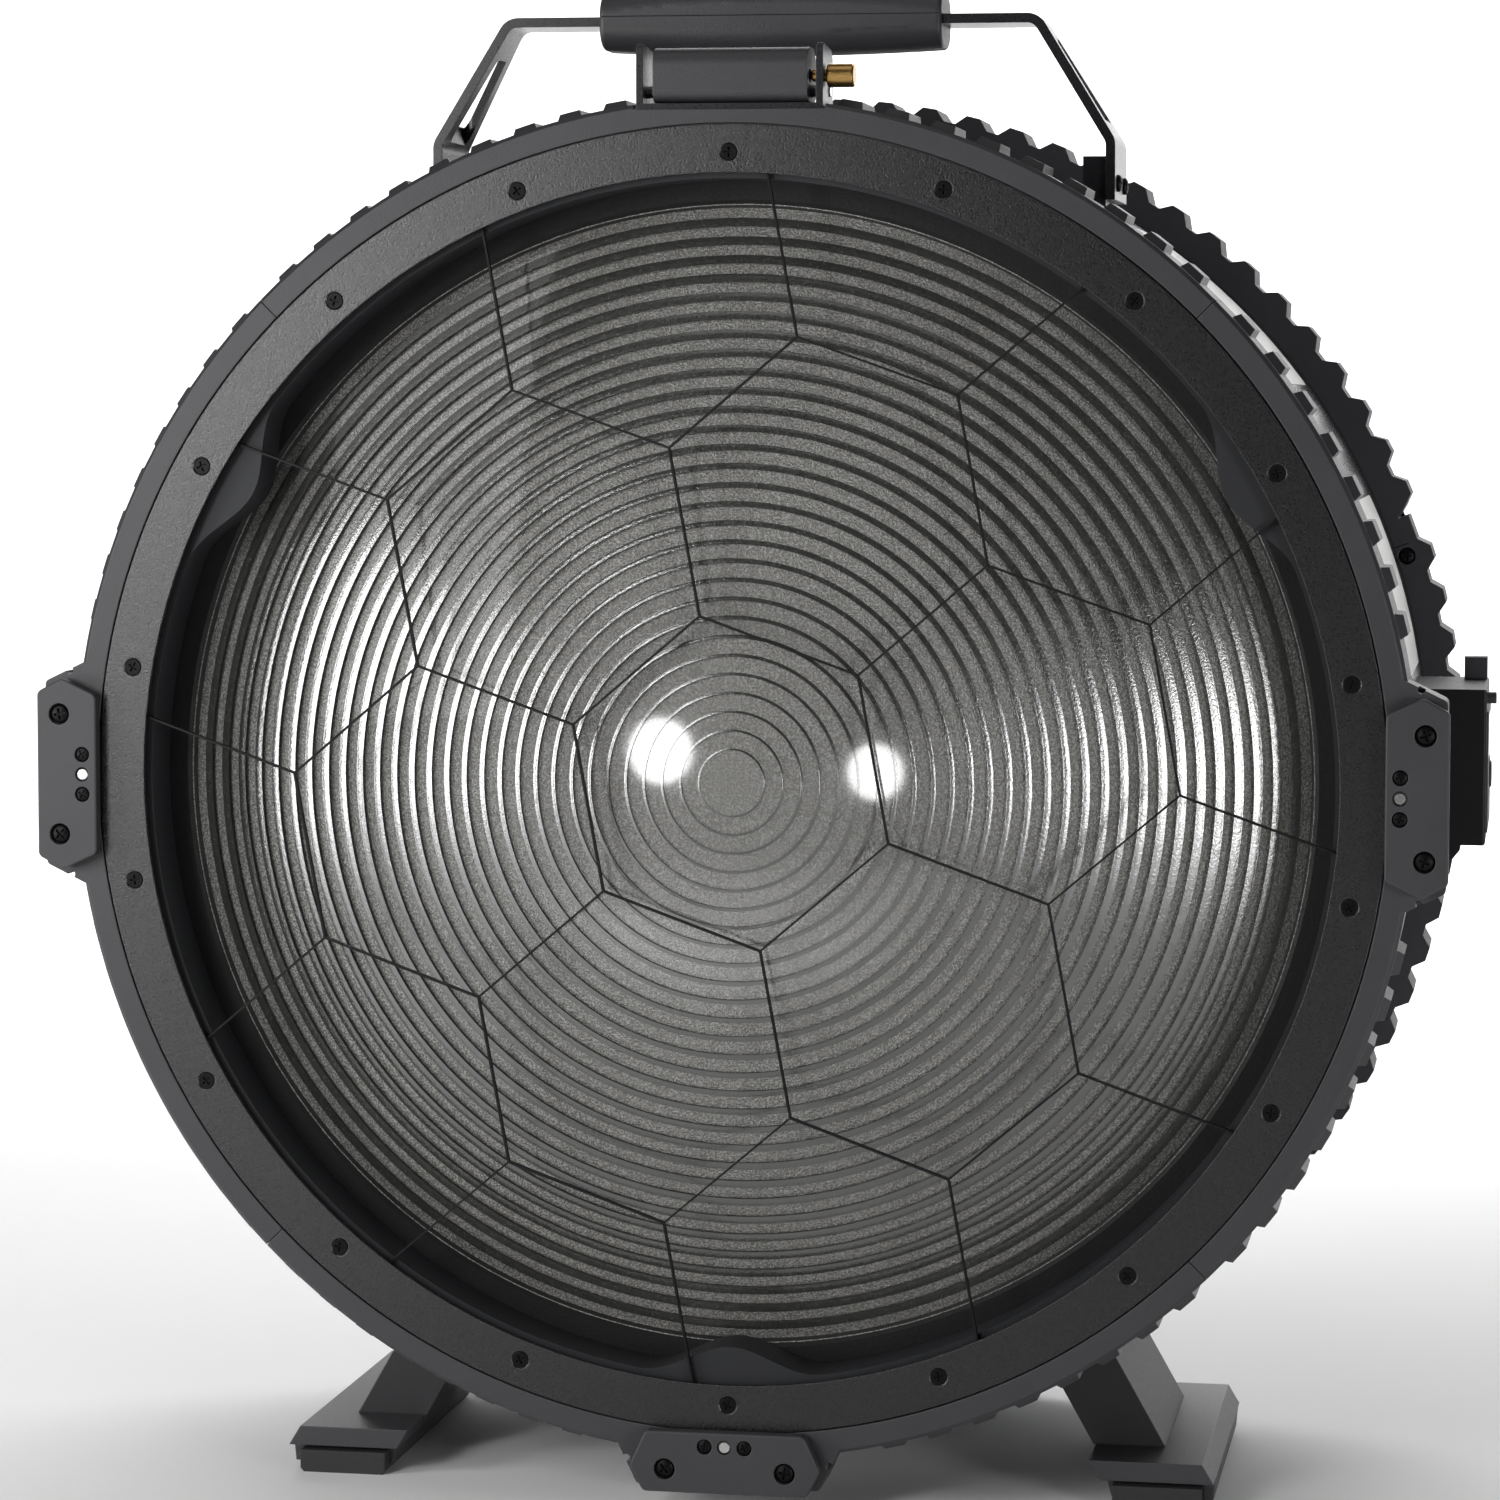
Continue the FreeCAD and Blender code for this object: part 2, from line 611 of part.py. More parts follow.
def make_bearings():
    """Front bearing blocks behind the bezel's ledge, and plain bearings in the bulkhead."""
    blocks = []
    for angle in DRIVE_ANGLES:
        block = Part.makeBox(32, 26, 12, Vector(297, -13, size("ledge_rear_z") - 12))
        trim = Part.makeCylinder(size("bezel_inner_r") - 0.2, 20, Vector(0, 0, 345))
        block = block.common(trim)
        bore = Part.makeCylinder(size("lead_screw_r") - 0.95, 14,
                                 Vector(size("drive_r"), 0, size("ledge_rear_z") - 13))
        blocks.append(about_axis(block.cut(bore), angle))
    code_part("front_bearing_blocks", Part.makeCompound(blocks))
    low = size("bulkhead_z")
    bore = size("lead_screw_r") + 0.05
    bearing = ring(bore, size("drive_bore_r"), low, low + 9).fuse(
        ring(bore, size("drive_flange_r") - 1, low + size("bulkhead_thick"), low + 6))
    bearings = [placed(bearing, at_angle(a, size("drive_r"))) for a in DRIVE_ANGLES]
    code_part("rear_bearings", Part.makeCompound(bearings))


def make_bulkhead():
    """Inner wall that holds the rear bearings and the motor."""
    body = turned_body("bulkhead", [
        ("bulkhead_inner_r", "bulkhead_z"), ("barrel_inner_r", "bulkhead_z"),
        ("barrel_inner_r", "bulkhead_z + 16"), ("barrel_inner_r - 3", "bulkhead_z + 16"),
        ("barrel_inner_r - 3", "bulkhead_z + bulkhead_thick"),
        ("bulkhead_inner_r", "bulkhead_z + bulkhead_thick")])
    doc.recompute()
    seat = new_sketch(body, lift="bulkhead_z + bulkhead_thick")
    draw_circle(seat, "drive_bore_r", ("0", "-drive_r"))
    bores = pocket(body, seat, "10")
    polar(body, [bores], 3)
    doc.recompute()
    pilot = new_sketch(body, lift="bulkhead_z + bulkhead_thick")
    draw_circle(pilot, "19.2", ("0", "motor_y"))
    pocket(body, pilot, "10")


def belt_loop(radius):
    """Tight loop round the four pulleys, at a distance from their centres."""
    centres = [at_angle(a, size("drive_r")) for a in DRIVE_ANGLES]
    centres.insert(1, Vector(0, size("motor_y"), 0))
    discs = []
    for i, centre in enumerate(centres):
        other = centres[(i + 1) % len(centres)]
        run = other - centre
        side = Vector(run.y, -run.x, 0).normalize() * radius
        discs.append((centre, other, side))
    edges = []
    for i, (centre, other, side) in enumerate(discs):
        edges.append(Part.makeLine(centre + side, other + side))
        following = discs[(i + 1) % len(discs)][2]
        bisector = (side + following).normalize() * radius
        edges.append(Part.Arc(other + side, other + bisector, other + following).toShape())
    return Part.Face(Part.Wire(edges))


def make_belt():
    """Toothed belt's plain envelope, round the motor pulley and the three screw pulleys."""
    wide, low = size("belt_wide"), size("pulley_z") - size("belt_wide") / 2
    inner = size("pulley_r") + size("run_gap")
    outer = belt_loop(inner + size("belt_thick")).extrude(Vector(0, 0, wide))
    hole = belt_loop(inner).extrude(Vector(0, 0, wide))
    loop = outer.cut(hole)
    loop.translate(Vector(0, 0, low))
    code_part("timing_belt", loop)


def make_motor():
    """Stepper motor on the bulkhead, and the pulley on its shaft."""
    body = new_body("zoom_motor")
    half = "motor_side / 2"
    case = new_sketch(body, lift="bulkhead_z + bulkhead_thick")
    draw_polygon(case, [
        (f"-{half}", f"motor_y - {half} + 5"), (f"-{half} + 5", f"motor_y - {half}"),
        (f"{half} - 5", f"motor_y - {half}"), (half, f"motor_y - {half} + 5"),
        (half, f"motor_y + {half} - 5"), (f"{half} - 5", f"motor_y + {half}"),
        (f"-{half} + 5", f"motor_y + {half}"), (f"-{half}", f"motor_y + {half} - 5")])
    draw_circle(case, "pulley_r / 3", ("0", "motor_y"))
    pad(body, case, "motor_long")
    doc.recompute()
    boss = new_sketch(body, lift="bulkhead_z + 0.5")
    draw_circle(boss, "19", ("0", "motor_y"))
    draw_circle(boss, "pulley_r / 3", ("0", "motor_y"))
    pad(body, boss, "bulkhead_thick - 0.5")
    turned_about("motor_pulley", Vector(0, size("motor_y"), 0), ALONG, [
        ("0", "bulkhead_z + 40"), ("pulley_r / 3 - 0.1", "bulkhead_z + 40"),
        ("pulley_r / 3 - 0.1", "pulley_z + 5"), *PULLEY, ("0", "pulley_z - 5")])


def make_sensor():
    """Reflective end sensor on the barrel's inner wall, just behind the carriage's travel."""
    block = Part.makeBox(17, 16, 14, Vector(319, -8, 180))
    block = block.common(Part.makeCylinder(size("barrel_inner_r"), 30, Vector(0, 0, 175)))
    eye = Part.makeCylinder(2.2, 1.2, Vector(322.5, 0, 194))
    code_part("end_sensor", about_axis(block.fuse(eye), 210))


# ---------------------------------------------------------------- barrel and rear

def make_barrel():
    turned_body("barrel", [
        ("barrel_inner_r", "barrel_rear_z"), ("barrel_outer_r", "barrel_rear_z"),
        ("barrel_outer_r", "bezel_rear_z"), ("barrel_inner_r", "bezel_rear_z")])


def bumper_outline(start):
    """Ninety degrees of toothed ring whose ends lock together with a small step."""
    inner, root, tip = size("barrel_outer_r"), size("bumper_root_r"), size("bumper_tip_r")
    pitch = 360 / size("tooth_count")
    step = (inner + root) / 2 + 1
    end = start + 90 - 0.06
    points = [at_angle(start - 0.6, step), at_angle(start + 0.45 * pitch, step)]
    for i in range(1, int(90 / pitch) + 1):
        middle = start + pitch * i
        points += [at_angle(middle - 0.37 * pitch, root), at_angle(middle - 0.15 * pitch, tip),
                   at_angle(middle + 0.15 * pitch, tip), at_angle(middle + 0.37 * pitch, root)]
    points += [at_angle(end + 0.45 * pitch, root), at_angle(end + 0.45 * pitch, step),
               at_angle(end - 0.6, step), at_angle(end - 0.6, inner)]
    start_corner = at_angle(start - 0.6, inner)
    middle_corner = at_angle(start + 45, inner)
    outline = Part.makePolygon([start_corner] + points)
    arc = Part.Arc(points[-1], middle_corner, start_corner).toShape()
    return Part.Face(Part.Wire(outline.Edges + [arc]))


def make_bumpers():
    """The rear bumper's four equal segments and the screw at each seam."""
    low, high = size("barrel_rear_z"), size("bumper_front_z")
    screw = pan_screw(4.3, 2.6, 2, 14)
    sunk = Vector(0, 0, 2.4)
    starts = [size("bumper_seam") + 90 * i for i in range(4)]
    heads = [at_angle(start - 1.7, size("bumper_screw_r"), high) - sunk for start in starts]
    screws = [placed(screw, head, spin=25 * i) for i, head in enumerate(heads)]
    holes = []
    for head in heads:
        holes.append(Part.makeCylinder(4.7, 3, head))
        holes.append(Part.makeCylinder(2, 20, head - Vector(0, 0, 15.6)))
    for place in rear_screw_places()[0]:
        holes.append(Part.makeCylinder(size("rear_bore_r"), 11, place))
    segments = []
    for start in starts:
        segment = bumper_outline(start).extrude(Vector(0, 0, high - low))
        segment.translate(Vector(0, 0, low))
        segments.append(segment.cut(holes))
    code_part("rear_bumper", Part.makeCompound(segments))
    code_part("bumper_screws", Part.makeCompound(screws))


def make_rear_cover():
    """Conical rear cover with a flange that meets the barrel and the bumper."""
    body = turned_body("rear_cover", [
        ("cover_outer_r", "barrel_rear_z"), ("cover_outer_r", "barrel_rear_z - 5"),
        ("barrel_inner_r + 1", "barrel_rear_z - 5"), ("barrel_inner_r - 5", "barrel_rear_z - 11"),
        ("cover_cone_r", "cover_rear_z"), ("mount_outer_r", "cover_rear_z"),
        ("mount_outer_r", "cover_rear_z + cover_wall"),
        ("cover_cone_r - 1", "cover_rear_z + cover_wall"),
        ("barrel_inner_r - 8", "barrel_rear_z - 7"), ("barrel_inner_r - 4", "barrel_rear_z")])
    doc.recompute()
    vent = new_sketch(body, lift="barrel_rear_z")
    draw_polygon(vent, [("-4", "215"), ("4", "215"), ("4", "285"), ("-4", "285")])
    slot = pocket(body, vent, "60")
    polar(body, [slot], 24)
    doc.recompute()
    rim_hole = new_sketch(body, lift="barrel_rear_z + 1")
    draw_circle(rim_hole, "rear_bore_r", ("0", "rear_screw_r"))
    rim_holes = pocket(body, rim_hole, "10")
    polar(body, [rim_holes], 8)
    doc.recompute()
    collar_hole = new_sketch(body, lift="cover_rear_z + cover_wall + 1")
    draw_circle(collar_hole, "rear_bore_r", ("0", "mount_screw_r"))
    collar_holes = pocket(body, collar_hole, "10")
    polar(body, [collar_holes], 6)


def make_mount():
    """Source mount collar, its locking ring, and the screws that hold the rear together."""
    body = turned_body("mount_collar", [
        ("mount_bore_r", "0"), ("mount_outer_r + 4", "0"), ("mount_outer_r + 4", "4"),
        ("mount_outer_r", "4"), ("mount_outer_r", "cover_rear_z + cover_wall"),
        ("mount_flange_r", "cover_rear_z + cover_wall"),
        ("mount_flange_r", "cover_rear_z + cover_wall + 6"),
        ("mount_bore_r - 6", "cover_rear_z + cover_wall + 6"),
        ("mount_bore_r - 6", "mount_bore_deep"), ("mount_bore_r", "mount_bore_deep")])
    doc.recompute()
    hole = new_sketch(body, lift="cover_rear_z + cover_wall + 6")
    draw_circle(hole, "rear_bore_r", ("0", "mount_screw_r"))
    bolts = pocket(body, hole, "7")
    polar(body, [bolts], 6)


def make_lock_ring():
    """Ring that turns on the collar between its rim and the rear cover, with a lever."""
    body = turned_body("lock_ring", [
        ("mount_outer_r + run_gap", "4.3"), ("lock_ring_r - 1.5", "4.3"),
        ("lock_ring_r", "5.8"), ("lock_ring_r", "16.5"), ("lock_ring_r - 1.5", "18"),
        ("lock_sleeve_r", "19"), ("lock_sleeve_r", "cover_rear_z - run_gap"),
        ("mount_outer_r + run_gap", "cover_rear_z - run_gap")])
    doc.recompute()
    lever = new_sketch(body, lift="6")
    draw_polygon(lever, [("-9", "lock_ring_r - 6"), ("9", "lock_ring_r - 6"),
                         ("7", "lock_lever_r"), ("-7", "lock_lever_r")])
    pad(body, lever, "10")
    body.Placement = FRONTAL.multiply(
        Placement(Vector(0, 0, 0), Rotation(Vector(0, 0, 1), -60)))


def rear_screw_places():
    """Seats of the rear screws: eight on the cover's rim and six on the mount's flange."""
    rim = [at_angle(45 * i + 45, size("rear_screw_r"), size("barrel_rear_z") - 5)
           for i in range(8)]
    flange = [at_angle(60 * i + 90, size("mount_screw_r"), size("cover_rear_z"))
              for i in range(6)]
    return rim, flange


def make_rear_screws():
    screw = pan_screw(4, 2.4, 2, 9)
    rim, flange = rear_screw_places()
    screws = [placed(screw, place, axis=Vector(0, 0, -1)) for place in rim + flange]
    code_part("rear_screws", Part.makeCompound(screws))


# ---------------------------------------------------------------- accessory brackets

def bracket():
    """Right-hand accessory bracket: a hexagonal plate over a slot, on a raised foot."""
    inner, outer, half = (size("bracket_inner_r"), size("bracket_outer_r"),
                          size("bracket_half"))
    outline = [(inner, -half + 8.3), (inner + 18, -half), (outer, -half + 7),
               (outer, half - 7), (inner + 18, half), (inner, half - 8.3)]
    front = size("bracket_front_z")
    base = size("front_z") + size("slot_high")
    plate = prism(outline, base, front)
    plate = plate.makeFillet(3.5, [e for e in plate.Edges
                                   if abs(e.BoundBox.ZLength - (front - base)) < 0.01])
    plate = plate.makeChamfer(0.6, [e for e in plate.Edges
                                    if abs(e.BoundBox.ZMin - front) < 0.01])
    foot = prism([(338.5, -38), (outer - 2, -38), (outer - 2, 38), (338.5, 38)],
                 size("front_z"), base + 0.5)
    solid = plate.fuse(foot)
    for side in (-1, 1):
        y = side * size("bracket_screw_half")
        x = size("bracket_screw_r")
        solid = solid.cut(Part.makeCylinder(5.5, 4, Vector(x, y, front - 3.2)))
        solid = solid.cut(Part.makeCylinder(2.2, 30, Vector(x, y, size("front_z") - 5)))
        y = side * size("pin_screw_half")
        x = size("pin_circle_r")
        solid = solid.cut(Part.makeCylinder(3.95, 3, Vector(x, y, front - 2)))
        solid = solid.cut(Part.makeCylinder(1.6, 30, Vector(x, y, size("front_z"))))
    x = size("pin_circle_r")
    solid = solid.cut(Part.makeCylinder(3.75, 9, Vector(x, 0, front - 5)))
    return solid.cut(Part.makeCylinder(2.3, 30, Vector(x, 0, size("front_z"))))


def make_brackets():
    """Three equal brackets with their screws, and the sprung pin in each."""
    plate = bracket()
    front = size("bracket_front_z")
    large = pan_screw(5, 3, 2.1, 22)
    small = pan_screw(3.8, 1.9, 1.5, 4)
    plates, large_screws, small_screws = [], [], []
    for i, angle in enumerate(BRACKET_ANGLES):
        plates.append(about_axis(plate, angle))
        for side in (-1, 1):
            place = Vector(size("bracket_screw_r"), side * size("bracket_screw_half"),
                           front - 3.2)
            large_screws.append(about_axis(placed(large, place, spin=30 * i + 20 * side), angle))
            place = Vector(size("pin_circle_r"), side * size("pin_screw_half"), front - 2)
            small_screws.append(about_axis(placed(small, place, spin=50 * i + 15 * side), angle))
    code_part("accessory_brackets", Part.makeCompound(plates))
    code_part("bracket_screws", Part.makeCompound(large_screws))
    code_part("pin_screws", Part.makeCompound(small_screws))
    for label, angle in zip(("right", "left", "bottom"), BRACKET_ANGLES):
        turned_about(f"bracket_pin_{label}", at_angle(angle, size("pin_circle_r")), ALONG, [
            ("0", "bracket_front_z - 0.3"), ("2.6", "bracket_front_z - 0.3"),
            ("3.4", "bracket_front_z - 1.1"), ("3.4", "bracket_front_z - 4.7"),
            ("2", "bracket_front_z - 4.7"), ("2", "front_z + 1.8"), ("1.2", "front_z + 1"),
            ("0", "front_z + 1")])


# ---------------------------------------------------------------- top latch

def side_profile(points, low_x, high_x):
    """A solid with an outline of (y, z) points, between two x values."""
    loop = [Vector(low_x, y, z) for y, z in points]
    return Part.Face(Part.makePolygon(loop + loop[:1])).extrude(Vector(high_x - low_x, 0, 0))


def make_clevis():
    """Bent U bracket on the bezel's flat seat, with two ears."""
    half, wall = size("clevis_half"), size("clevis_wall")
    seat, top = size("latch_seat_y"), size("clevis_top_y")
    front, rear = size("front_z") - 1, size("clevis_rear_z")
    solid = Part.makeBox(2 * half, 3, front - rear, Vector(-half, seat, rear))
    for side in (-1, 1):
        low_x = -half if side < 0 else half - wall
        outline = [(seat, rear), (top - 6, rear), (top - 2, rear + 5), (top, front - 3),
                   (top - 2, front), (seat, front)]
        solid = solid.fuse(side_profile(outline, low_x, low_x + wall))
    pivot = Part.makeCylinder(size("axle_r"), 2 * half + 2,
                              Vector(-half - 1, size("axle_y"), size("axle_z")),
                              Vector(1, 0, 0))
    bore = Part.makeCylinder(3.05, 20, Vector(half - 10, size("knob_y"), size("knob_z")),
                             Vector(1, 0, 0))
    solid = solid.cut(pivot).cut(bore)
    for x in (-25, 25):
        solid = solid.cut(Part.makeCylinder(2.2, 8, Vector(x, seat - 2, 357), Vector(0, 1, 0)))
    code_part("latch_clevis", solid.removeSplitter())


def make_flap():
    """The hinged latch bar, rounded all along, with a bore for its axle."""
    low, top = size("flap_low_y"), size("flap_top_y")
    front, rear = size("flap_front_z"), size("flap_rear_z")
    half = size("flap_half")
    solid = Part.makeBox(2 * half, top - low, front - rear, Vector(-half, low, rear))
    long_edges = [e for e in solid.Edges if abs(e.BoundBox.XLength - 2 * half) < 0.01]
    solid = solid.makeFillet(9, [e for e in long_edges if e.CenterOfMass.y > top - 1])
    lower = [e for e in solid.Edges if e.CenterOfMass.y < low + 0.1
             and abs(e.BoundBox.XLength - 2 * half) < 0.01]
    solid = solid.makeFillet(6.2, lower)
    bore = Part.makeCylinder(size("axle_r") + 0.05, 2 * half + 2,
                             Vector(-half - 1, size("axle_y"), size("axle_z")),
                             Vector(1, 0, 0))
    dimple = Part.makeCylinder(3.6, 3, Vector(half - 2.5, size("knob_y"), size("knob_z")),
                               Vector(1, 0, 0))
    code_part("latch_flap", solid.cut(bore).cut(dimple))


def make_latch():
    """Clevis, flap, axle and the brass plunger that holds the flap shut."""
    make_clevis()
    make_flap()
    turned_about("latch_axle", Vector(0, size("axle_y"), size("axle_z")), ACROSS, [
        ("0", "-clevis_half - 0.6"), ("axle_r - 0.4", "-clevis_half - 0.6"),
        ("axle_r", "-clevis_half - 0.2"), ("axle_r", "clevis_half + 0.2"),
        ("axle_r - 0.4", "clevis_half + 0.6"), ("0", "clevis_half + 0.6")])
    turned_about("latch_plunger", Vector(0, size("knob_y"), size("knob_z")), ACROSS, [
        ("0", "flap_half + 0.5"), ("1.8", "flap_half + 0.5"), ("3", "flap_half + 1.9"),
        ("3", "clevis_half + 1"), ("knob_r - 0.5", "clevis_half + 1"),
        ("knob_r", "clevis_half + 1.5"), ("knob_r", "clevis_half + 13.6"),
        ("knob_r - 0.8", "clevis_half + 14.4"), ("0", "clevis_half + 14.4")])


# ---------------------------------------------------------------- carrying handle

def handle_screw_depths():
    """The two depths of the handle's screws on each side."""
    front = size("strap_front_z")
    return front - size("handle_screw_front"), front - size("handle_screw_rear")


def make_strap():
    """Flat bar bent into an arch, wide at the feet and slotted on its slopes."""
    thick = size("strap_thick")
    tab_x, tab_y = size("strap_tab_x"), size("strap_tab_y")
    top_x, top_y = size("strap_top_half"), size("strap_top_y")
    slope = math.atan2(top_y - tab_y, tab_x - top_x)
    shift_top = thick * math.tan(slope / 2)
    shift_tab = thick * math.tan((math.pi / 2 - slope) / 2)
    low_y, front = size("strap_low_y"), size("strap_front_z")
    outer = [(tab_x, low_y), (tab_x, tab_y), (top_x, top_y)]
    inner = [(top_x - shift_top, top_y - thick), (tab_x - thick, tab_y - shift_tab),
             (tab_x - thick, low_y)]
    outline = (outer + [(-x, y) for x, y in outer[::-1]]
               + [(-x, y) for x, y in inner[::-1]] + inner)
    rear = front - size("strap_tab_wide")
    bar = prism(outline, rear, front)
    bends = [e for e in bar.Edges if e.BoundBox.ZLength > 10
             and abs(e.CenterOfMass.y - low_y) > 1]
    outward = [e for e in bends if e.CenterOfMass.y > top_y - 1
               or abs(abs(e.CenterOfMass.x) - tab_x) < 0.1]
    inward = [e for e in bends if e.CenterOfMass.y < top_y - 1
              and abs(abs(e.CenterOfMass.x) - tab_x) > 0.1]
    bar = bar.makeFillet(11, outward)
    inward = [e for e in bar.Edges
              if any(e.CenterOfMass.distanceToPoint(f.CenterOfMass) < 0.5 for f in inward)]
    bar = bar.makeFillet(6, inward)
    top_rear = front - size("strap_top_wide")

    def plan_cut(points):
        loop = [Vector(x, 250, z) for x, z in points]
        return Part.Face(Part.makePolygon(loop + loop[:1])).extrude(Vector(0, 180, 0))

    bar = bar.cut(plan_cut([(-top_x, top_rear), (top_x, top_rear), (tab_x, rear),
                            (tab_x + 9, rear - 1), (-tab_x - 9, rear - 1), (-tab_x, rear)]))
    for side in (-1, 1):
        slot = plan_cut([(side * (top_x + 7), front - 10), (side * (top_x + 7), top_rear + 4),
                         (side * (tab_x - 6.5), rear + 14), (side * (tab_x - 6.5), front - 10)])
        slot = slot.makeFillet(2.5, [e for e in slot.Edges if e.BoundBox.YLength > 100])
        bar = bar.cut(slot)
        for z in handle_screw_depths():
            place = Vector(side * (tab_x - 20), size("handle_screw_y"), z)
            bar = bar.cut(Part.makeCylinder(2.6, 30, place, Vector(side, 0, 0)))
    code_part("handle_strap", bar)


def make_handle_mounts():
    """Blocks between the strap's tabs and the barrel, and the screws through the tabs."""
    tab_x, front = size("strap_tab_x"), size("strap_front_z")
    blocks, screws = [], []
    screw = pan_screw(4.4, 2.6, 2.5, 12)
    for side in (-1, 1):
        face = side * (tab_x - size("strap_thick"))
        low_x = min(face, face - side * 12)
        block = Part.makeBox(12, 40, 51, Vector(low_x, 280, front - 54))
        block = block.cut(Part.makeCylinder(size("barrel_outer_r"), 80,
                                            Vector(0, 0, front - 70)))
        block = block.common(Part.makeBox(20, 30, 80, Vector(low_x - 4, 288.5, front - 70)))
        for z in handle_screw_depths():
            place = Vector(face + side, size("handle_screw_y"), z)
            block = block.cut(Part.makeCylinder(2.5, 9, place, Vector(-side, 0, 0)))
            place = Vector(side * tab_x, size("handle_screw_y"), z)
            screws.append(placed(screw, place, Vector(side, 0, 0), spin=20 + z))
        blocks.append(block)
    code_part("handle_blocks", Part.makeCompound(blocks))
    code_part("handle_screws", Part.makeCompound(screws))


def make_grip():
    """Two moulded shells that close round the strap, split level with its top."""
    half, top, low = size("grip_half"), size("grip_top_y"), size("grip_low_y")
    drop, deep = size("grip_end_drop"), size("grip_deep")
    middle_z = size("strap_front_z") - size("strap_top_wide") / 2
    rear = middle_z - deep / 2
    crown = Part.Arc(Vector(-half, top - drop, rear), Vector(0, top, rear),
                     Vector(half, top - drop, rear)).toShape()
    belly = Part.Arc(Vector(half, low + drop / 2, rear), Vector(0, low, rear),
                     Vector(-half, low + drop / 2, rear)).toShape()
    right = Part.makeLine(Vector(half, top - drop, rear), Vector(half, low + drop / 2, rear))
    left = Part.makeLine(Vector(-half, low + drop / 2, rear), Vector(-half, top - drop, rear))
    solid = Part.Face(Part.Wire([crown, right, belly, left])).extrude(Vector(0, 0, deep))
    long_edges = [e for e in solid.Edges if e.BoundBox.XLength > half]
    solid = solid.makeFillet(size("grip_round"), long_edges)
    end_edges = [e for e in solid.Edges if e.BoundBox.XLength < 0.01
                 and abs(abs(e.CenterOfMass.x) - half) < 0.01]
    solid = solid.makeFillet(2.5, end_edges)
    split = size("strap_top_y")
    channel = Part.makeBox(2 * half + 4, size("strap_thick") + 0.2,
                           size("strap_top_wide") + 0.2,
                           Vector(-half - 2, split - size("strap_thick") - 0.1,
                                  rear + (deep - size("strap_top_wide")) / 2 - 0.1))
    space = 60
    upper = Part.makeBox(3 * half, space, space, Vector(-1.5 * half, split + 0.15, rear - 5))
    under = Part.makeBox(3 * half, space, space, Vector(-1.5 * half, split - 0.15 - space,
                                                       rear - 5))
    code_part("grip_upper", solid.common(upper).cut(channel))
    code_part("grip_lower", solid.common(under).cut(channel))


# ---------------------------------------------------------------- feet

def make_foot(label, side):
    """One foot: a strut that leans outwards, a chamfered rail and a rubber pad."""
    lean = -90 + side * size("foot_lean")
    strut = box_object(f"{label}_block", ("barrel_outer_r - 8", "-strut_wide / 2",
                                          "strut_front_z - strut_deep"),
                       ("barrel_outer_r + 90", "strut_wide / 2", "strut_front_z"))
    turned_block = doc.addObject("Part::Compound", f"{label}_leaning")
    turned_block.Links = [strut]
    turned_block.Placement = Placement(Vector(0, 0, 0), Rotation(Vector(0, 0, 1), lean))
    saddle = cylinder_object(f"{label}_saddle", "barrel_outer_r", "strut_front_z - 200",
                             "strut_front_z + 50")
    floor = box_object(f"{label}_floor", ("-400", "rail_top_y - 200", "0"),
                       ("400", "rail_top_y", "front_z"))
    seated = boolean("Cut", f"{label}_seated", turned_block, saddle)
    finish_part(boolean("Cut", f"foot_strut_{label}", seated, floor), f"foot_strut_{label}")

    def mirrored(points):
        return points if side > 0 else [(f"-({x})", y) for x, y in points[::-1]]

    inner, outer = "rail_inner_x", "rail_inner_x + rail_wide"
    rail = plate_body(f"foot_rail_{label}", mirrored([
        (inner, "rail_top_y"), (f"{inner} + 6", "rail_mid_y"), (f"{outer} + 6", "rail_mid_y"),
        (outer, "rail_top_y")]), "rail_front_z - rail_long", "rail_front_z")
    doc.recompute()
    lower = new_sketch(rail, lift="rail_front_z - rail_long + 8")
    draw_polygon(lower, mirrored([
        (f"{inner} + 8", "rail_mid_y"), (f"{inner} + 11", "rail_low_y"),
        (f"{outer} + 5", "rail_low_y"), (f"{outer} + 6", "rail_mid_y")]))
    pad(rail, lower, "rail_long - 17")
    doc.recompute()
    bed = new_sketch(rail, lift="rail_front_z + 5")
    draw_polygon(bed, mirrored([
        (f"{inner} + 12", "rail_mid_y - 2.3"), (f"{inner} + 12", "rail_low_y - 5"),
        (f"{outer}", "rail_low_y - 5"), (f"{outer}", "rail_mid_y - 2.3")]))
    pocket(rail, bed, "rail_long + 20")
    plate_body(f"foot_pad_{label}", mirrored([
        (f"{inner} + 12.2", "rail_mid_y - 2.5"), (f"{inner} + 12.2", "pad_low_y + 2"),
        (f"{inner} + 14", "pad_low_y"), (f"{outer} - 2", "pad_low_y"),
        (f"{outer} - 0.2", "pad_low_y + 2"), (f"{outer} - 0.2", "rail_mid_y - 2.5")]),
        "rail_front_z - rail_long + 4", "rail_front_z + 0.6")


def make_feet():
    make_foot("right", 1)
    make_foot("left", -1)


# ---------------------------------------------------------------- control box

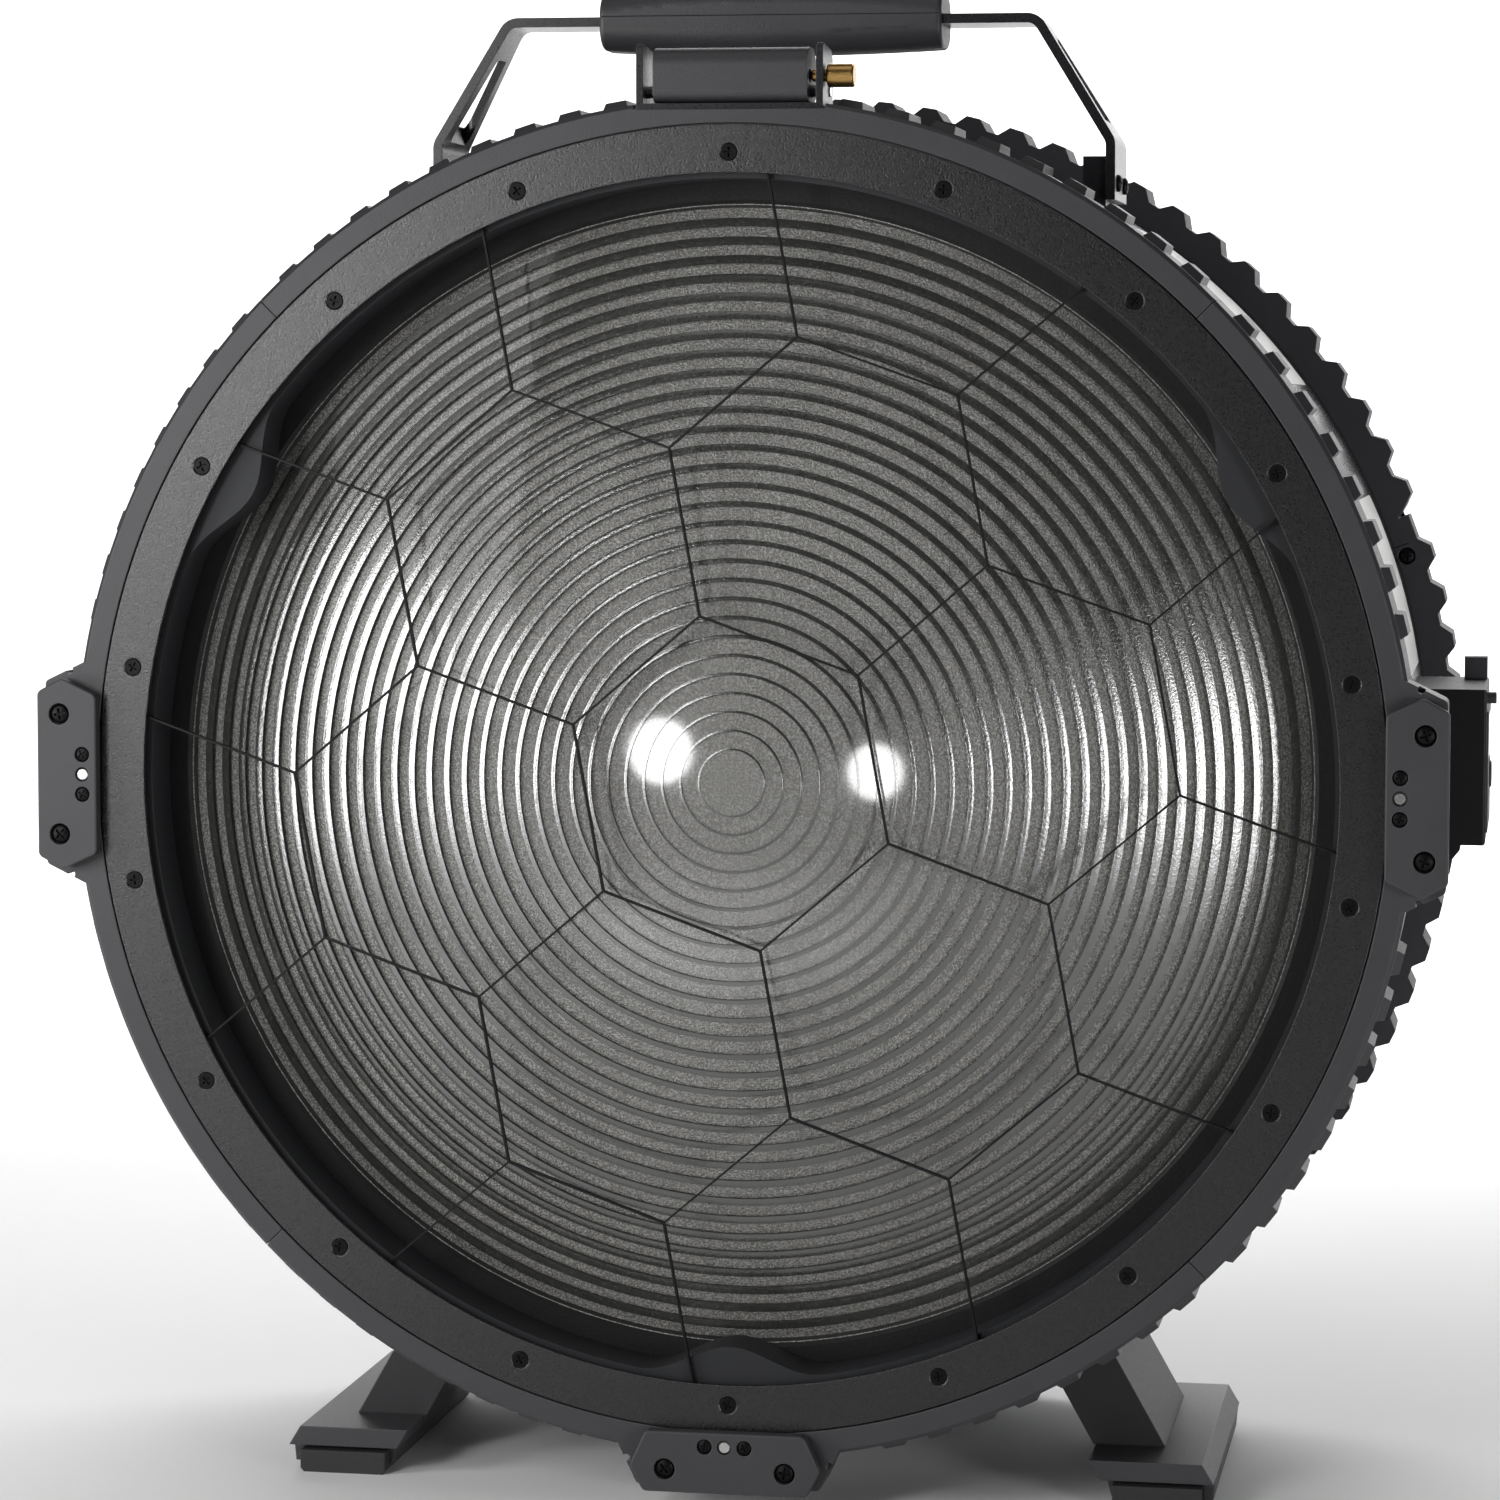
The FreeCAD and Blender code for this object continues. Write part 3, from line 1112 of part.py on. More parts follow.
def make_control_housing():
    """Hollow housing on the right flank, recessed for its panel, with a step below it."""
    outer, top, low = size("box_outer_x"), size("box_top_y"), size("box_low_y")
    front, deep, wall = size("box_front_z"), size("box_deep"), size("box_wall")
    inset, margin = size("panel_inset"), size("panel_margin")
    rear = front - deep
    shell = Part.makeBox(outer - 325, top - low, deep, Vector(325, low, rear))
    shell = shell.makeFillet(1.5, [e for e in shell.Edges
                                   if abs(e.CenterOfMass.x - outer) < 0.1])
    shell = shell.fuse(side_step(outer, low, rear))
    shell = shell.cut(Part.makeCylinder(size("barrel_outer_r"), deep + 20,
                                        Vector(0, 0, rear - 10)))
    cavity = Part.makeBox(23, top - low - 2 * wall, deep - 2 * wall,
                          Vector(outer - 26, low + wall, rear + wall))
    wide, tall = deep - 2 * margin, size("panel_tall")
    recess = Part.makeBox(5, tall, wide, Vector(outer - inset, low + margin, rear + margin))
    mouth = Part.makeBox(8, tall - 5, wide - 5,
                         Vector(outer - 6, low + margin + 2.5, rear + margin + 2.5))
    socket_bore = Part.makeCylinder(9.05, 8, Vector(outer - 15, low + 40, rear - 1))
    knob = Vector(outer, size("mode_y"), front - 14)
    knob_bore = Part.makeCylinder(3.3, 12, knob - Vector(8, 0, 0), ACROSS)
    relief = Part.makeCylinder(4.3, 12, knob - Vector(14, 0, 0), ACROSS)
    code_part("control_housing",
              shell.cut([cavity, recess, mouth, socket_bore, knob_bore, relief]))


def make_control_panel():
    """Panel with a window and a dial bore in a shallow finger scoop."""
    outer, low = size("box_outer_x"), size("box_low_y")
    inset, proud = size("panel_inset"), size("panel_proud")
    rear = size("box_front_z") - size("box_deep")
    gap, margin = size("panel_gap"), size("panel_margin")
    wide, tall = size("box_deep") - 2 * margin, size("panel_tall")
    plate = Part.makeBox(inset + proud - gap, tall - 2 * gap, wide - 2 * gap,
                         Vector(outer - inset + gap, low + margin + gap, rear + margin + gap))
    plate = plate.makeFillet(0.5, [e for e in plate.Edges
                                   if abs(e.CenterOfMass.x - outer - proud) < 0.01])
    window = Part.makeBox(4, 22.2, 44.2, Vector(outer + proud - 1.4, 9.9, rear + 25.9))
    dial = Vector(outer + proud, 0, rear + 48)
    scoop = Part.makeTorus(11, 3.2, dial + Vector(2.4, 0, 0), ACROSS)
    bore = Part.makeCylinder(size("dial_r") + 0.3, 12, dial - Vector(8, 0, 0), ACROSS)
    code_part("control_panel", plate.cut([window, scoop, bore]))


def make_control_pieces():
    """The turned knobs, the window, the board, the socket and the stub of the control box."""
    outer = "box_outer_x"
    rear = "box_front_z - box_deep"
    turned_about("control_dial", Vector(size("box_outer_x"), 0, solve(rear) + 48), ACROSS, [
        ("0", "-6"), ("dial_r + 1.5", "-6"), ("dial_r + 1.5", "-4.6"), ("dial_r", "-4.6"),
        ("dial_r", "panel_proud + 0.6"), ("dial_r - 0.7", "panel_proud + 1.3"),
        ("dial_r - 2", "panel_proud + 1.3"), ("dial_r - 2.6", "panel_proud + 0.8"),
        ("0", "panel_proud + 0.8")])
    knob = Vector(size("box_outer_x"), size("mode_y"), size("box_front_z") - 14)
    turned_about("mode_button", knob, ACROSS, [
        ("0", "-9.6"), ("4", "-9.6"), ("4", "-8.3"), ("3", "-8.3"), ("3", "4.4"),
        ("2.6", "4.8"), ("0", "4.8")])
    socket = Vector(size("box_outer_x") - 15, size("box_low_y") + 40, solve(rear))
    turned_about("power_socket", socket, ALONG, [
        ("0", "6"), ("9", "6"), ("9", "0"), ("11.5", "0"), ("11.5", "-2"), ("10.5", "-3"),
        ("7.2", "-3"), ("7.2", "3.5"), ("0", "3.5")])
    for label, low, high in (
        ("display_window", (f"{outer} + panel_proud - 1.4", "10", f"{rear} + 26"),
         (f"{outer} + panel_proud", "32", f"{rear} + 70")),
        ("control_board", (f"{outer} - 24", "box_low_y + 8", f"{rear} + 8"),
         (f"{outer} - 22.4", "box_top_y - 8", f"{rear} + 88")),
        ("antenna_stub", (f"{outer} - 13", "box_top_y", f"{rear} + 3"),
         (f"{outer} - 1", "box_top_y + 11.6", f"{rear} + 17")),
    ):
        stand = doc.addObject("Part::Compound", label)
        stand.Links = [box_object(f"{label}_box", low, high)]
        finish_part(stand, label)


def side_step(outer, low, rear):
    """Small stepped bracket under the housing, seated on the barrel."""
    inner = size("barrel_outer_r") - 14
    outline = [(inner, low + 1), (outer - 13, low + 1), (outer - 13, low - 4.5),
               (outer - 17, low - 9.5), (inner, low - 9.5)]
    solid = prism(outline, rear + 12, rear + 78)
    return solid.cut(Part.makeCylinder(size("barrel_outer_r"), 200, Vector(0, 0, rear - 20)))


def make_labels():
    """Three blank stick-on labels on the right flank."""
    inner = size("barrel_outer_r")
    outer = inner + size("label_thick")
    low, high = size("label_rear_z"), size("label_front_z")
    rounded = []
    for start, end in LABEL_SPANS:
        label = sector(inner, outer, start, end, low, high)
        edges = [e for e in label.Edges if e.Length < 1.0]
        rounded.append(label.makeFillet(4, edges) if len(edges) == 4 else label)
    code_part("blank_labels", Part.makeCompound(rounded))


# ---------------------------------------------------------------- build, check and write

MAKERS = (
    make_front_plate, make_front_screws, make_wire_guard, make_bezels, make_hood, make_lens,
    make_lens_rings, make_carriage, make_lead_nuts, make_lead_screws, make_bearings,
    make_bulkhead, make_belt, make_motor, make_sensor, make_barrel, make_bumpers,
    make_rear_cover, make_mount, make_lock_ring, make_rear_screws, make_brackets, make_latch,
    make_strap, make_handle_mounts, make_grip, make_feet, make_control_housing,
    make_control_panel, make_control_pieces, make_labels,
)
for make in MAKERS:
    make()
doc.recompute()

failed = [item.Label for item in doc.Objects
          if {"Invalid", "Error"} & set(item.State)]
for name in PART_NAMES:
    item = doc.getObject(name)
    if item.Shape.isNull() or not item.Shape.isValid() or not item.Shape.Solids:
        failed.append(item.Label)
if failed:
    raise RuntimeError("not built: " + ", ".join(failed))

os.makedirs("parts", exist_ok=True)
for name in PART_NAMES:
    item = doc.getObject(name)
    item.Shape.exportStep(f"parts/{item.Label}.step")
print(len(PART_NAMES), "parts written")
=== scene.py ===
import math

import bmesh
import bpy
from mathutils import Matrix, Vector


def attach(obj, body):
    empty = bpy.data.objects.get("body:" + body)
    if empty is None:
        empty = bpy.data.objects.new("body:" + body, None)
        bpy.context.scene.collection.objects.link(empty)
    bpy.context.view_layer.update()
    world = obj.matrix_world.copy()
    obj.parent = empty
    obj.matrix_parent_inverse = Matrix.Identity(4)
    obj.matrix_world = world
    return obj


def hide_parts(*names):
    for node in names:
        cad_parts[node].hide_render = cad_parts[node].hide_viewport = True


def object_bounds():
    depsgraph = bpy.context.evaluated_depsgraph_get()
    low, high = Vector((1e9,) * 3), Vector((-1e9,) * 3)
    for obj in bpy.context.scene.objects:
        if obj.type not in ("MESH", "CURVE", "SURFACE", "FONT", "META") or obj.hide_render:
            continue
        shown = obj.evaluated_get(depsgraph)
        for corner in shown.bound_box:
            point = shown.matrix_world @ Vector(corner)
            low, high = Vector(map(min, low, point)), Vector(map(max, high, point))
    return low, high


# Large motorised fresnel head. Metres, +Z up, the beam leaves along -Y, and the optical axis
# is the Y axis. The CAD nodes stay as they are and get materials; the lens is a piece of its
# own, with its stepped zones in full.

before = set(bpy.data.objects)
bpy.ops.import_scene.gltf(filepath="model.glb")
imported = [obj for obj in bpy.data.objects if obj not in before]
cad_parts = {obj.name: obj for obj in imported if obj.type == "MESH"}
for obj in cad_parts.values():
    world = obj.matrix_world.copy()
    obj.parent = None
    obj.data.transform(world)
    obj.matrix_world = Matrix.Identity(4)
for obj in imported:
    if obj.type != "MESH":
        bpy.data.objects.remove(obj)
cad_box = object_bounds()


# ---------------------------------------------------------------- material building blocks

def new_material(name):
    """An empty node material and its Principled shader."""
    material = bpy.data.materials.new(name)
    material.use_nodes = True
    nodes = material.node_tree.nodes
    nodes.clear()
    output = nodes.new("ShaderNodeOutputMaterial")
    shader = nodes.new("ShaderNodeBsdfPrincipled")
    material.node_tree.links.new(shader.outputs["BSDF"], output.inputs["Surface"])
    return material, shader


def add_noise(material, scale, detail=2.0, rough=0.5, stretch=None):
    """A noise texture in the piece's own coordinates, so that it rides with the piece."""
    nodes, links = material.node_tree.nodes, material.node_tree.links
    place = nodes.new("ShaderNodeTexCoord").outputs["Object"]
    if stretch:
        mapping = nodes.new("ShaderNodeMapping")
        mapping.inputs["Scale"].default_value = stretch
        links.new(place, mapping.inputs["Vector"])
        place = mapping.outputs["Vector"]
    noise = nodes.new("ShaderNodeTexNoise")
    noise.inputs["Scale"].default_value = scale
    noise.inputs["Detail"].default_value = detail
    noise.inputs["Roughness"].default_value = rough
    links.new(place, noise.inputs["Vector"])
    return noise.outputs["Fac"]


def remap(material, value, low, high, start=0.3, end=0.7):
    """Spreads a noise value over a range."""
    nodes, links = material.node_tree.nodes, material.node_tree.links
    node = nodes.new("ShaderNodeMapRange")
    node.inputs["From Min"].default_value = start
    node.inputs["From Max"].default_value = end
    node.inputs["To Min"].default_value = low
    node.inputs["To Max"].default_value = high
    links.new(value, node.inputs["Value"])
    return node.outputs["Result"]


def mix_colour(material, factor, first, second):
    """Two colours blended by a value; either may be a colour or a socket."""
    nodes, links = material.node_tree.nodes, material.node_tree.links
    node = nodes.new("ShaderNodeMix")
    node.data_type = "RGBA"
    links.new(factor, node.inputs["Factor"])
    for socket, colour in (("A", first), ("B", second)):
        slot = next(s for s in node.inputs if s.name == socket and s.type == "RGBA")
        if isinstance(colour, tuple):
            slot.default_value = (*colour, 1.0)
        else:
            links.new(colour, slot)
    return next(s for s in node.outputs if s.type == "RGBA")


def add_bump(material, value, depth, strength=1.0, under=None):
    """A bump from a value, over an earlier normal if there is one."""
    nodes, links = material.node_tree.nodes, material.node_tree.links
    bump = nodes.new("ShaderNodeBump")
    bump.inputs["Distance"].default_value = depth
    bump.inputs["Strength"].default_value = strength
    links.new(value, bump.inputs["Height"])
    if under is not None:
        links.new(under, bump.inputs["Normal"])
    return bump.outputs["Normal"]


def round_edges_with_highlight(material, radius):
    """Rounded normals near edges, and a value that is high only at those edges, where a lighter
    colour is painted in as a highlight.
    """
    nodes, links = material.node_tree.nodes, material.node_tree.links
    rounded = nodes.new("ShaderNodeBevel")
    rounded.samples = 4
    rounded.inputs["Radius"].default_value = radius
    geometry = nodes.new("ShaderNodeNewGeometry")
    facing = nodes.new("ShaderNodeVectorMath")
    facing.operation = "DOT_PRODUCT"
    links.new(rounded.outputs["Normal"], facing.inputs[0])
    links.new(geometry.outputs["Normal"], facing.inputs[1])
    painted_highlight = remap(material, facing.outputs["Value"], 1.0, 0.0, 0.72, 0.985)
    return rounded.outputs["Normal"], painted_highlight


def finish_coat(name, colour, rough, grain=None, mottle=0.12, edge=None, metal=0.0, coat=0.0,
                brushed=None, specular=0.5):
    """A painted, moulded or turned surface.

    grain is (size, depth) of its texture in metres, mottle the share by which its colour
    wanders, edge (radius, colour) its rounded edges and the lighter colour painted on them as a
    highlight, and brushed a stretch that draws the grain out along one axis.
    """
    material, shader = new_material(name)
    links = material.node_tree.links
    darker = tuple(c * (1 - mottle) for c in colour)
    lighter = tuple(c * (1 + mottle) for c in colour)
    cloud = remap(material, add_noise(material, 28.0, 4.0), 0.0, 1.0)
    shade = mix_colour(material, cloud, darker, lighter)
    normal = None
    if edge:
        # Painted highlight: a lighter colour is mixed in at the edges, where rounding would
        # catch the light.
        radius, highlight_colour = edge
        normal, painted_highlight = round_edges_with_highlight(material, radius)
        shade = mix_colour(material, painted_highlight, shade, highlight_colour)
    if grain:
        grain_size, depth = grain
        fine = add_noise(material, 1.0 / grain_size, 3.0, 0.6, brushed)
        normal = add_bump(material, fine, depth, 1.0, normal)
        glints = remap(material, fine, rough * 0.82, min(1.0, rough * 1.2))
        links.new(glints, shader.inputs["Roughness"])
        speckle = remap(material, fine, 0.0, 1.0, 0.35, 0.75)
        shade = mix_colour(material, speckle, shade, tuple(c * 1.25 for c in lighter))
    else:
        wander = remap(material, add_noise(material, 60.0, 3.0), rough * 0.85, rough * 1.15)
        links.new(wander, shader.inputs["Roughness"])
    if normal is not None:
        links.new(normal, shader.inputs["Normal"])
    links.new(shade, shader.inputs["Base Color"])
    shader.inputs["Metallic"].default_value = metal
    shader.inputs["Specular IOR Level"].default_value = specular
    shader.inputs["Coat Weight"].default_value = coat
    shader.inputs["Coat Roughness"].default_value = 0.12
    return material


# The light grey that most finishes paint onto their edges as a highlight.
EDGE_HIGHLIGHT_GREY = (0.11, 0.11, 0.115)

MATERIALS = {
    "powder_coat": finish_coat("powder_coat", (0.003, 0.003, 0.0032), 0.29, (0.0009, 0.00020),
                               edge=(0.0006, EDGE_HIGHLIGHT_GREY), specular=0.80),
    "satin_housing": finish_coat("satin_housing", (0.030, 0.030, 0.033), 0.46,
                                 (0.0010, 0.00012), edge=(0.0009, EDGE_HIGHLIGHT_GREY)),
    # The struts are the rails' own grey, painted darker as shade.
    "strut_painted_shade": finish_coat("strut_painted_shade", (0.015, 0.015, 0.017), 0.52,
                               (0.0007, 0.00005), edge=(0.0009, (0.06, 0.06, 0.065))),
    "moulded_bracket": finish_coat("moulded_bracket", (0.030, 0.030, 0.033), 0.50,
                                   (0.0005, 0.00004), edge=(0.0008, (0.13, 0.13, 0.14))),
    "black_paint": finish_coat("black_paint", (0.010, 0.010, 0.012), 0.30, (0.0009, 0.00003),
                               edge=(0.0006, (0.05, 0.05, 0.055))),
    "guard_paint": finish_coat("guard_paint", (0.0025, 0.0025, 0.003), 0.55, (0.0009, 0.00003),
                               specular=0.25),
    "box_paint": finish_coat("box_paint", (0.006, 0.006, 0.007), 0.50, (0.0009, 0.00005),
                             specular=0.25),
    "gloss_barrel": finish_coat("gloss_barrel", (0.012, 0.012, 0.013), 0.22,
                                (0.0016, 0.00001), coat=0.4),
    "liner": finish_coat("liner", (0.0055, 0.006, 0.008), 0.60, (0.0006, 0.00004)),
    "bumper": finish_coat("bumper", (0.022, 0.022, 0.026), 0.55, (0.0008, 0.00008),
                          edge=(0.0008, (0.05, 0.05, 0.052))),
    "retainer": finish_coat("retainer", (0.003, 0.003, 0.0032), 0.60, (0.0016, 0.00020),
                            specular=0.3),
    "black_oxide": finish_coat("black_oxide", (0.002, 0.002, 0.002), 0.42, mottle=0.3,
                               edge=(0.0003, (0.04, 0.04, 0.04)), specular=0.15),
    "steel": finish_coat("steel", (0.62, 0.61, 0.60), 0.24, (0.0012, 0.00002), metal=1.0,
                         brushed=(1.0, 12.0, 1.0)),
    "brass": finish_coat("brass", (0.42, 0.26, 0.09), 0.30, (0.0010, 0.00003), metal=1.0,
                         brushed=(12.0, 1.0, 1.0), edge=(0.0005, (0.75, 0.58, 0.30))),
    "aluminium": finish_coat("aluminium", (0.42, 0.42, 0.43), 0.38, (0.0009, 0.00003),
                             metal=1.0),
    "rubber": finish_coat("rubber", (0.018, 0.018, 0.019), 0.78, (0.0008, 0.00010),
                          edge=(0.0010, (0.06, 0.06, 0.06))),
    "label": finish_coat("label", (0.62, 0.62, 0.60), 0.42, (0.0020, 0.00002), mottle=0.05),
    "window": finish_coat("window", (0.004, 0.004, 0.005), 0.06, mottle=0.2, coat=1.0),
    "board": finish_coat("board", (0.02, 0.10, 0.04), 0.40, (0.0030, 0.00010)),
}

LOOKS = {
    "powder_coat": ("front_plate",),
    "satin_housing": ("bezel_right", "bezel_top", "bezel_left", "bezel_bottom", "grip_upper",
                      "grip_lower", "foot_rail_left", "foot_rail_right", "latch_flap"),
    "strut_painted_shade": ("foot_strut_left", "foot_strut_right"),
    "moulded_bracket": ("accessory_brackets",),
    "guard_paint": ("wire_guard",),
    "black_paint": ("handle_strap", "handle_blocks", "latch_clevis",
                    "rear_cover", "mount_collar", "lock_ring", "zoom_motor",
                    "power_socket"),
    "box_paint": ("control_housing",),
    "gloss_barrel": ("barrel",),
    "liner": ("hood_liner",),
    "bumper": ("rear_bumper", "control_panel", "control_dial", "mode_button", "antenna_stub",
               "end_sensor", "front_bearing_blocks"),
    "retainer": ("lens_retaining_ring",),
    "black_oxide": ("front_plate_screws", "bracket_screws", "pin_screws", "bumper_screws",
                    "rear_screws", "handle_screws"),
    "steel": ("bracket_pin_left", "bracket_pin_right", "bracket_pin_bottom", "lead_screw_1",
              "lead_screw_2", "lead_screw_3", "latch_axle"),
    "brass": ("latch_plunger", "lead_nuts", "rear_bearings"),
    "aluminium": ("bulkhead", "lens_carriage", "motor_pulley"),
    "rubber": ("foot_pad_left", "foot_pad_right", "lens_gasket", "timing_belt"),
    "label": ("blank_labels",),
    "window": ("display_window",),
    "board": ("control_board",),
}
for look, names in LOOKS.items():
    for name in names:
        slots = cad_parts[name].material_slots
        for slot in slots:
            slot.material = MATERIALS[look]


# ---------------------------------------------------------------- the fresnel lens

# The front envelope: a dome whose rim is LENS_EDGE_Y deep, inside a flat rim.
LENS_EDGE_Y = -0.3365
LENS_SAG = 0.0268
DOME_RADIUS = 0.290
DOME_CURVE = (DOME_RADIUS ** 2 + LENS_SAG ** 2) / (2 * LENS_SAG)
RIM_RADIUS = 0.2998
RIM_CHAMFER = 0.0006
EDGE_THICK = 0.0052
WALL = 0.0068

# The zones: a flat centre, then rings of riser, rounded step and wide face. A step gets wider
# by STEP_GROWTH of its radius, up to STEP_WIDE. Slopes are rise over run: a step turns from
# STEP_GENTLE to STEP_STEEP, and a face's FACE_GENTLE gains FACE_STEEP on the way to the rim.
CENTRE_DISC = 0.0165
ZONE_PITCH = 0.0094
NARROWEST_ZONE = 0.001
RISER_LEAN = 0.0001
STEP_NARROW = 0.0006
STEP_GROWTH = 0.016
STEP_WIDE = 0.0042
STEP_GENTLE = 0.10
STEP_STEEP = 0.52
STEP_PARTS = 5
FACE_GENTLE = 0.03
FACE_STEEP = 0.34
FACE_GROWTH = 1.4
RIM_STEP = 0.0004
TURNS = 288
REAR_RINGS = 12
SHARP_ANGLE = math.radians(24)

# The smooth layer that mirrors the small lamps: full inside the first radius, thin past the
# second.
COAT_FULL = 0.095
COAT_THIN = 0.125
COAT_REST = 0.06

FACE, STEP, RISER = range(3)


def dome_y(radius):
    """Front envelope of the lens at a radius."""
    drop = DOME_CURVE - math.sqrt(DOME_CURVE ** 2 - min(radius, DOME_RADIUS) ** 2)
    return LENS_EDGE_Y - LENS_SAG + drop


def lens_profile():
    """(radius, y, slot) points from the centre to the rim and back along the rear.

    Each zone starts with a riser, goes on as a rounded glossy step that turns outwards, and
    ends in a wide stippled face. The slot is that of the band that ends at the point.
    """
    points = [(0.0, dome_y(0), FACE), (CENTRE_DISC / 2, dome_y(CENTRE_DISC / 2), FACE),
              (CENTRE_DISC, dome_y(CENTRE_DISC) + RISER_LEAN, FACE)]
    start = CENTRE_DISC
    while start < DOME_RADIUS - NARROWEST_ZONE:
        end = min(start + ZONE_PITCH, DOME_RADIUS)
        step_width = min(STEP_NARROW + STEP_GROWTH * start, STEP_WIDE)
        points.append((start + RISER_LEAN, dome_y(start) - RISER_LEAN, RISER))
        fall = 0.0
        for i in range(1, STEP_PARTS + 1):
            slope = STEP_GENTLE + (STEP_STEEP - STEP_GENTLE) * (i - 0.5) / STEP_PARTS
            fall += slope * step_width / STEP_PARTS
            radius = start + RISER_LEAN + step_width * i / STEP_PARTS
            points.append((radius, dome_y(radius) + fall, STEP))
        inner = start + RISER_LEAN + step_width
        face_slope = FACE_GENTLE + FACE_STEEP * (start / DOME_RADIUS) ** FACE_GROWTH
        for share in (0.5, 1.0):
            radius = inner + (end - inner) * share
            points.append((radius, dome_y(radius) + fall + face_slope * (radius - inner), FACE))
        start = end
    points.append((DOME_RADIUS + RIM_STEP, LENS_EDGE_Y, RISER))
    points.append((RIM_RADIUS - RIM_CHAMFER, LENS_EDGE_Y, FACE))
    points.append((RIM_RADIUS, LENS_EDGE_Y + RIM_CHAMFER, FACE))
    points.append((RIM_RADIUS, LENS_EDGE_Y + EDGE_THICK, FACE))
    points.append((DOME_RADIUS, LENS_EDGE_Y + EDGE_THICK, FACE))
    for ring in range(REAR_RINGS, 0, -1):
        radius = DOME_RADIUS * ring / (REAR_RINGS + 0.5)
        points.append((radius, dome_y(radius) + WALL, FACE))
    points.append((0.0, dome_y(0) + WALL, FACE))
    return points


def turned_mesh(name, profile, turns):
    """A closed mesh of revolution about the Y axis; each band has its point's slot."""
    mesh = bpy.data.meshes.new(name)
    build = bmesh.new()
    rings = []
    for radius, y, _ in profile:
        if radius == 0.0:
            rings.append([build.verts.new((0, y, 0))])
            continue
        rings.append([build.verts.new((radius * math.cos(2 * math.pi * i / turns), y,
                                       radius * math.sin(2 * math.pi * i / turns)))
                      for i in range(turns)])
    for (inner, outer), point in zip(zip(rings, rings[1:]), profile[1:]):
        for i in range(turns):
            j = (i + 1) % turns
            if len(inner) == 1:
                corners = (inner[0], outer[i], outer[j])
            elif len(outer) == 1:
                corners = (inner[i], outer[0], inner[j])
            else:
                corners = (inner[i], outer[i], outer[j], inner[j])
            face = build.faces.new(corners)
            face.material_index = point[2]
            face.smooth = True
    bmesh.ops.recalc_face_normals(build, faces=build.faces)
    build.to_mesh(mesh)
    build.free()
    mesh.set_sharp_from_angle(angle=SHARP_ANGLE)
    piece = bpy.data.objects.new(name, mesh)
    bpy.context.scene.collection.objects.link(piece)
    return piece


def dome_reflection(material, shader, weight):
    """A smooth clear layer with the dome's own normals, fading out beyond the middle."""
    nodes, links = material.node_tree.nodes, material.node_tree.links
    scale = nodes.new("ShaderNodeVectorMath")
    scale.operation = "MULTIPLY_ADD"
    scale.inputs[1].default_value = (1 / DOME_CURVE, 0.0, 1 / DOME_CURVE)
    scale.inputs[2].default_value = (0.0, -1.0, 0.0)
    unit = nodes.new("ShaderNodeVectorMath")
    unit.operation = "NORMALIZE"
    place = nodes.new("ShaderNodeTexCoord").outputs["Object"]
    links.new(place, scale.inputs[0])
    links.new(scale.outputs["Vector"], unit.inputs[0])
    links.new(unit.outputs["Vector"], shader.inputs["Coat Normal"])
    across = nodes.new("ShaderNodeVectorMath")
    across.operation = "MULTIPLY"
    across.inputs[1].default_value = (1.0, 0.0, 1.0)
    radius = nodes.new("ShaderNodeVectorMath")
    radius.operation = "LENGTH"
    links.new(place, across.inputs[0])
    links.new(across.outputs["Vector"], radius.inputs[0])
    links.new(remap(material, radius.outputs["Value"], weight, COAT_REST * weight,
                    COAT_FULL, COAT_THIN), shader.inputs["Coat Weight"])
    shader.inputs["Coat Roughness"].default_value = 0.05
    shader.inputs["Coat IOR"].default_value = 2.4


def lens_face():
    """Clear moulded glass over its stippled grey back."""
    material, shader = new_material("lens_face")
    links = material.node_tree.links
    stipple = add_noise(material, 900.0, 2.0, 0.8)
    cloud = remap(material, add_noise(material, 9.0, 3.0), 0.0, 1.0)
    shade = mix_colour(material, cloud, (0.104, 0.101, 0.090), (0.126, 0.123, 0.111))
    flecks = remap(material, stipple, 0.0, 1.0, 0.46, 0.72)
    shade = mix_colour(material, flecks, shade, (0.34, 0.34, 0.33))
    links.new(shade, shader.inputs["Base Color"])
    links.new(add_bump(material, stipple, 0.0012, 1.0), shader.inputs["Normal"])
    links.new(remap(material, stipple, 0.20, 0.34), shader.inputs["Roughness"])
    shader.inputs["IOR"].default_value = 1.9
    dome_reflection(material, shader, 0.8)
    return material


def lens_step():
    """The glossy rounded step between two zones, dark where it mirrors no light."""
    material, shader = new_material("lens_step")
    links = material.node_tree.links
    stipple = add_noise(material, 700.0, 2.0, 0.8)
    shade = mix_colour(material, remap(material, stipple, 0.0, 1.0),
                       (0.020, 0.020, 0.018), (0.052, 0.052, 0.048))
    links.new(shade, shader.inputs["Base Color"])
    links.new(add_bump(material, stipple, 0.0003, 0.5), shader.inputs["Normal"])
    links.new(remap(material, stipple, 0.15, 0.28), shader.inputs["Roughness"])
    shader.inputs["IOR"].default_value = 2.0
    shader.inputs["Specular IOR Level"].default_value = 0.9
    dome_reflection(material, shader, 0.5)
    return material


lens = turned_mesh("fresnel_lens_glass", lens_profile(), TURNS)
lens.data.materials.append(lens_face())
lens.data.materials.append(lens_step())
lens.data.materials.append(finish_coat("lens_riser", (0.016, 0.016, 0.015), 0.4))
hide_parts("fresnel_lens")
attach(lens, "lens_unit")


# ---------------------------------------------------------------- studio

FLOOR_Z = cad_box[0][2]
FLOOR_FRONT = -6.0
FLOOR_BACK = 2.6
FLOOR_HALF = 8.0
SWEEP_RADIUS = 1.2
SWEEP_PARTS = 10
WALL_TOP = 9.0


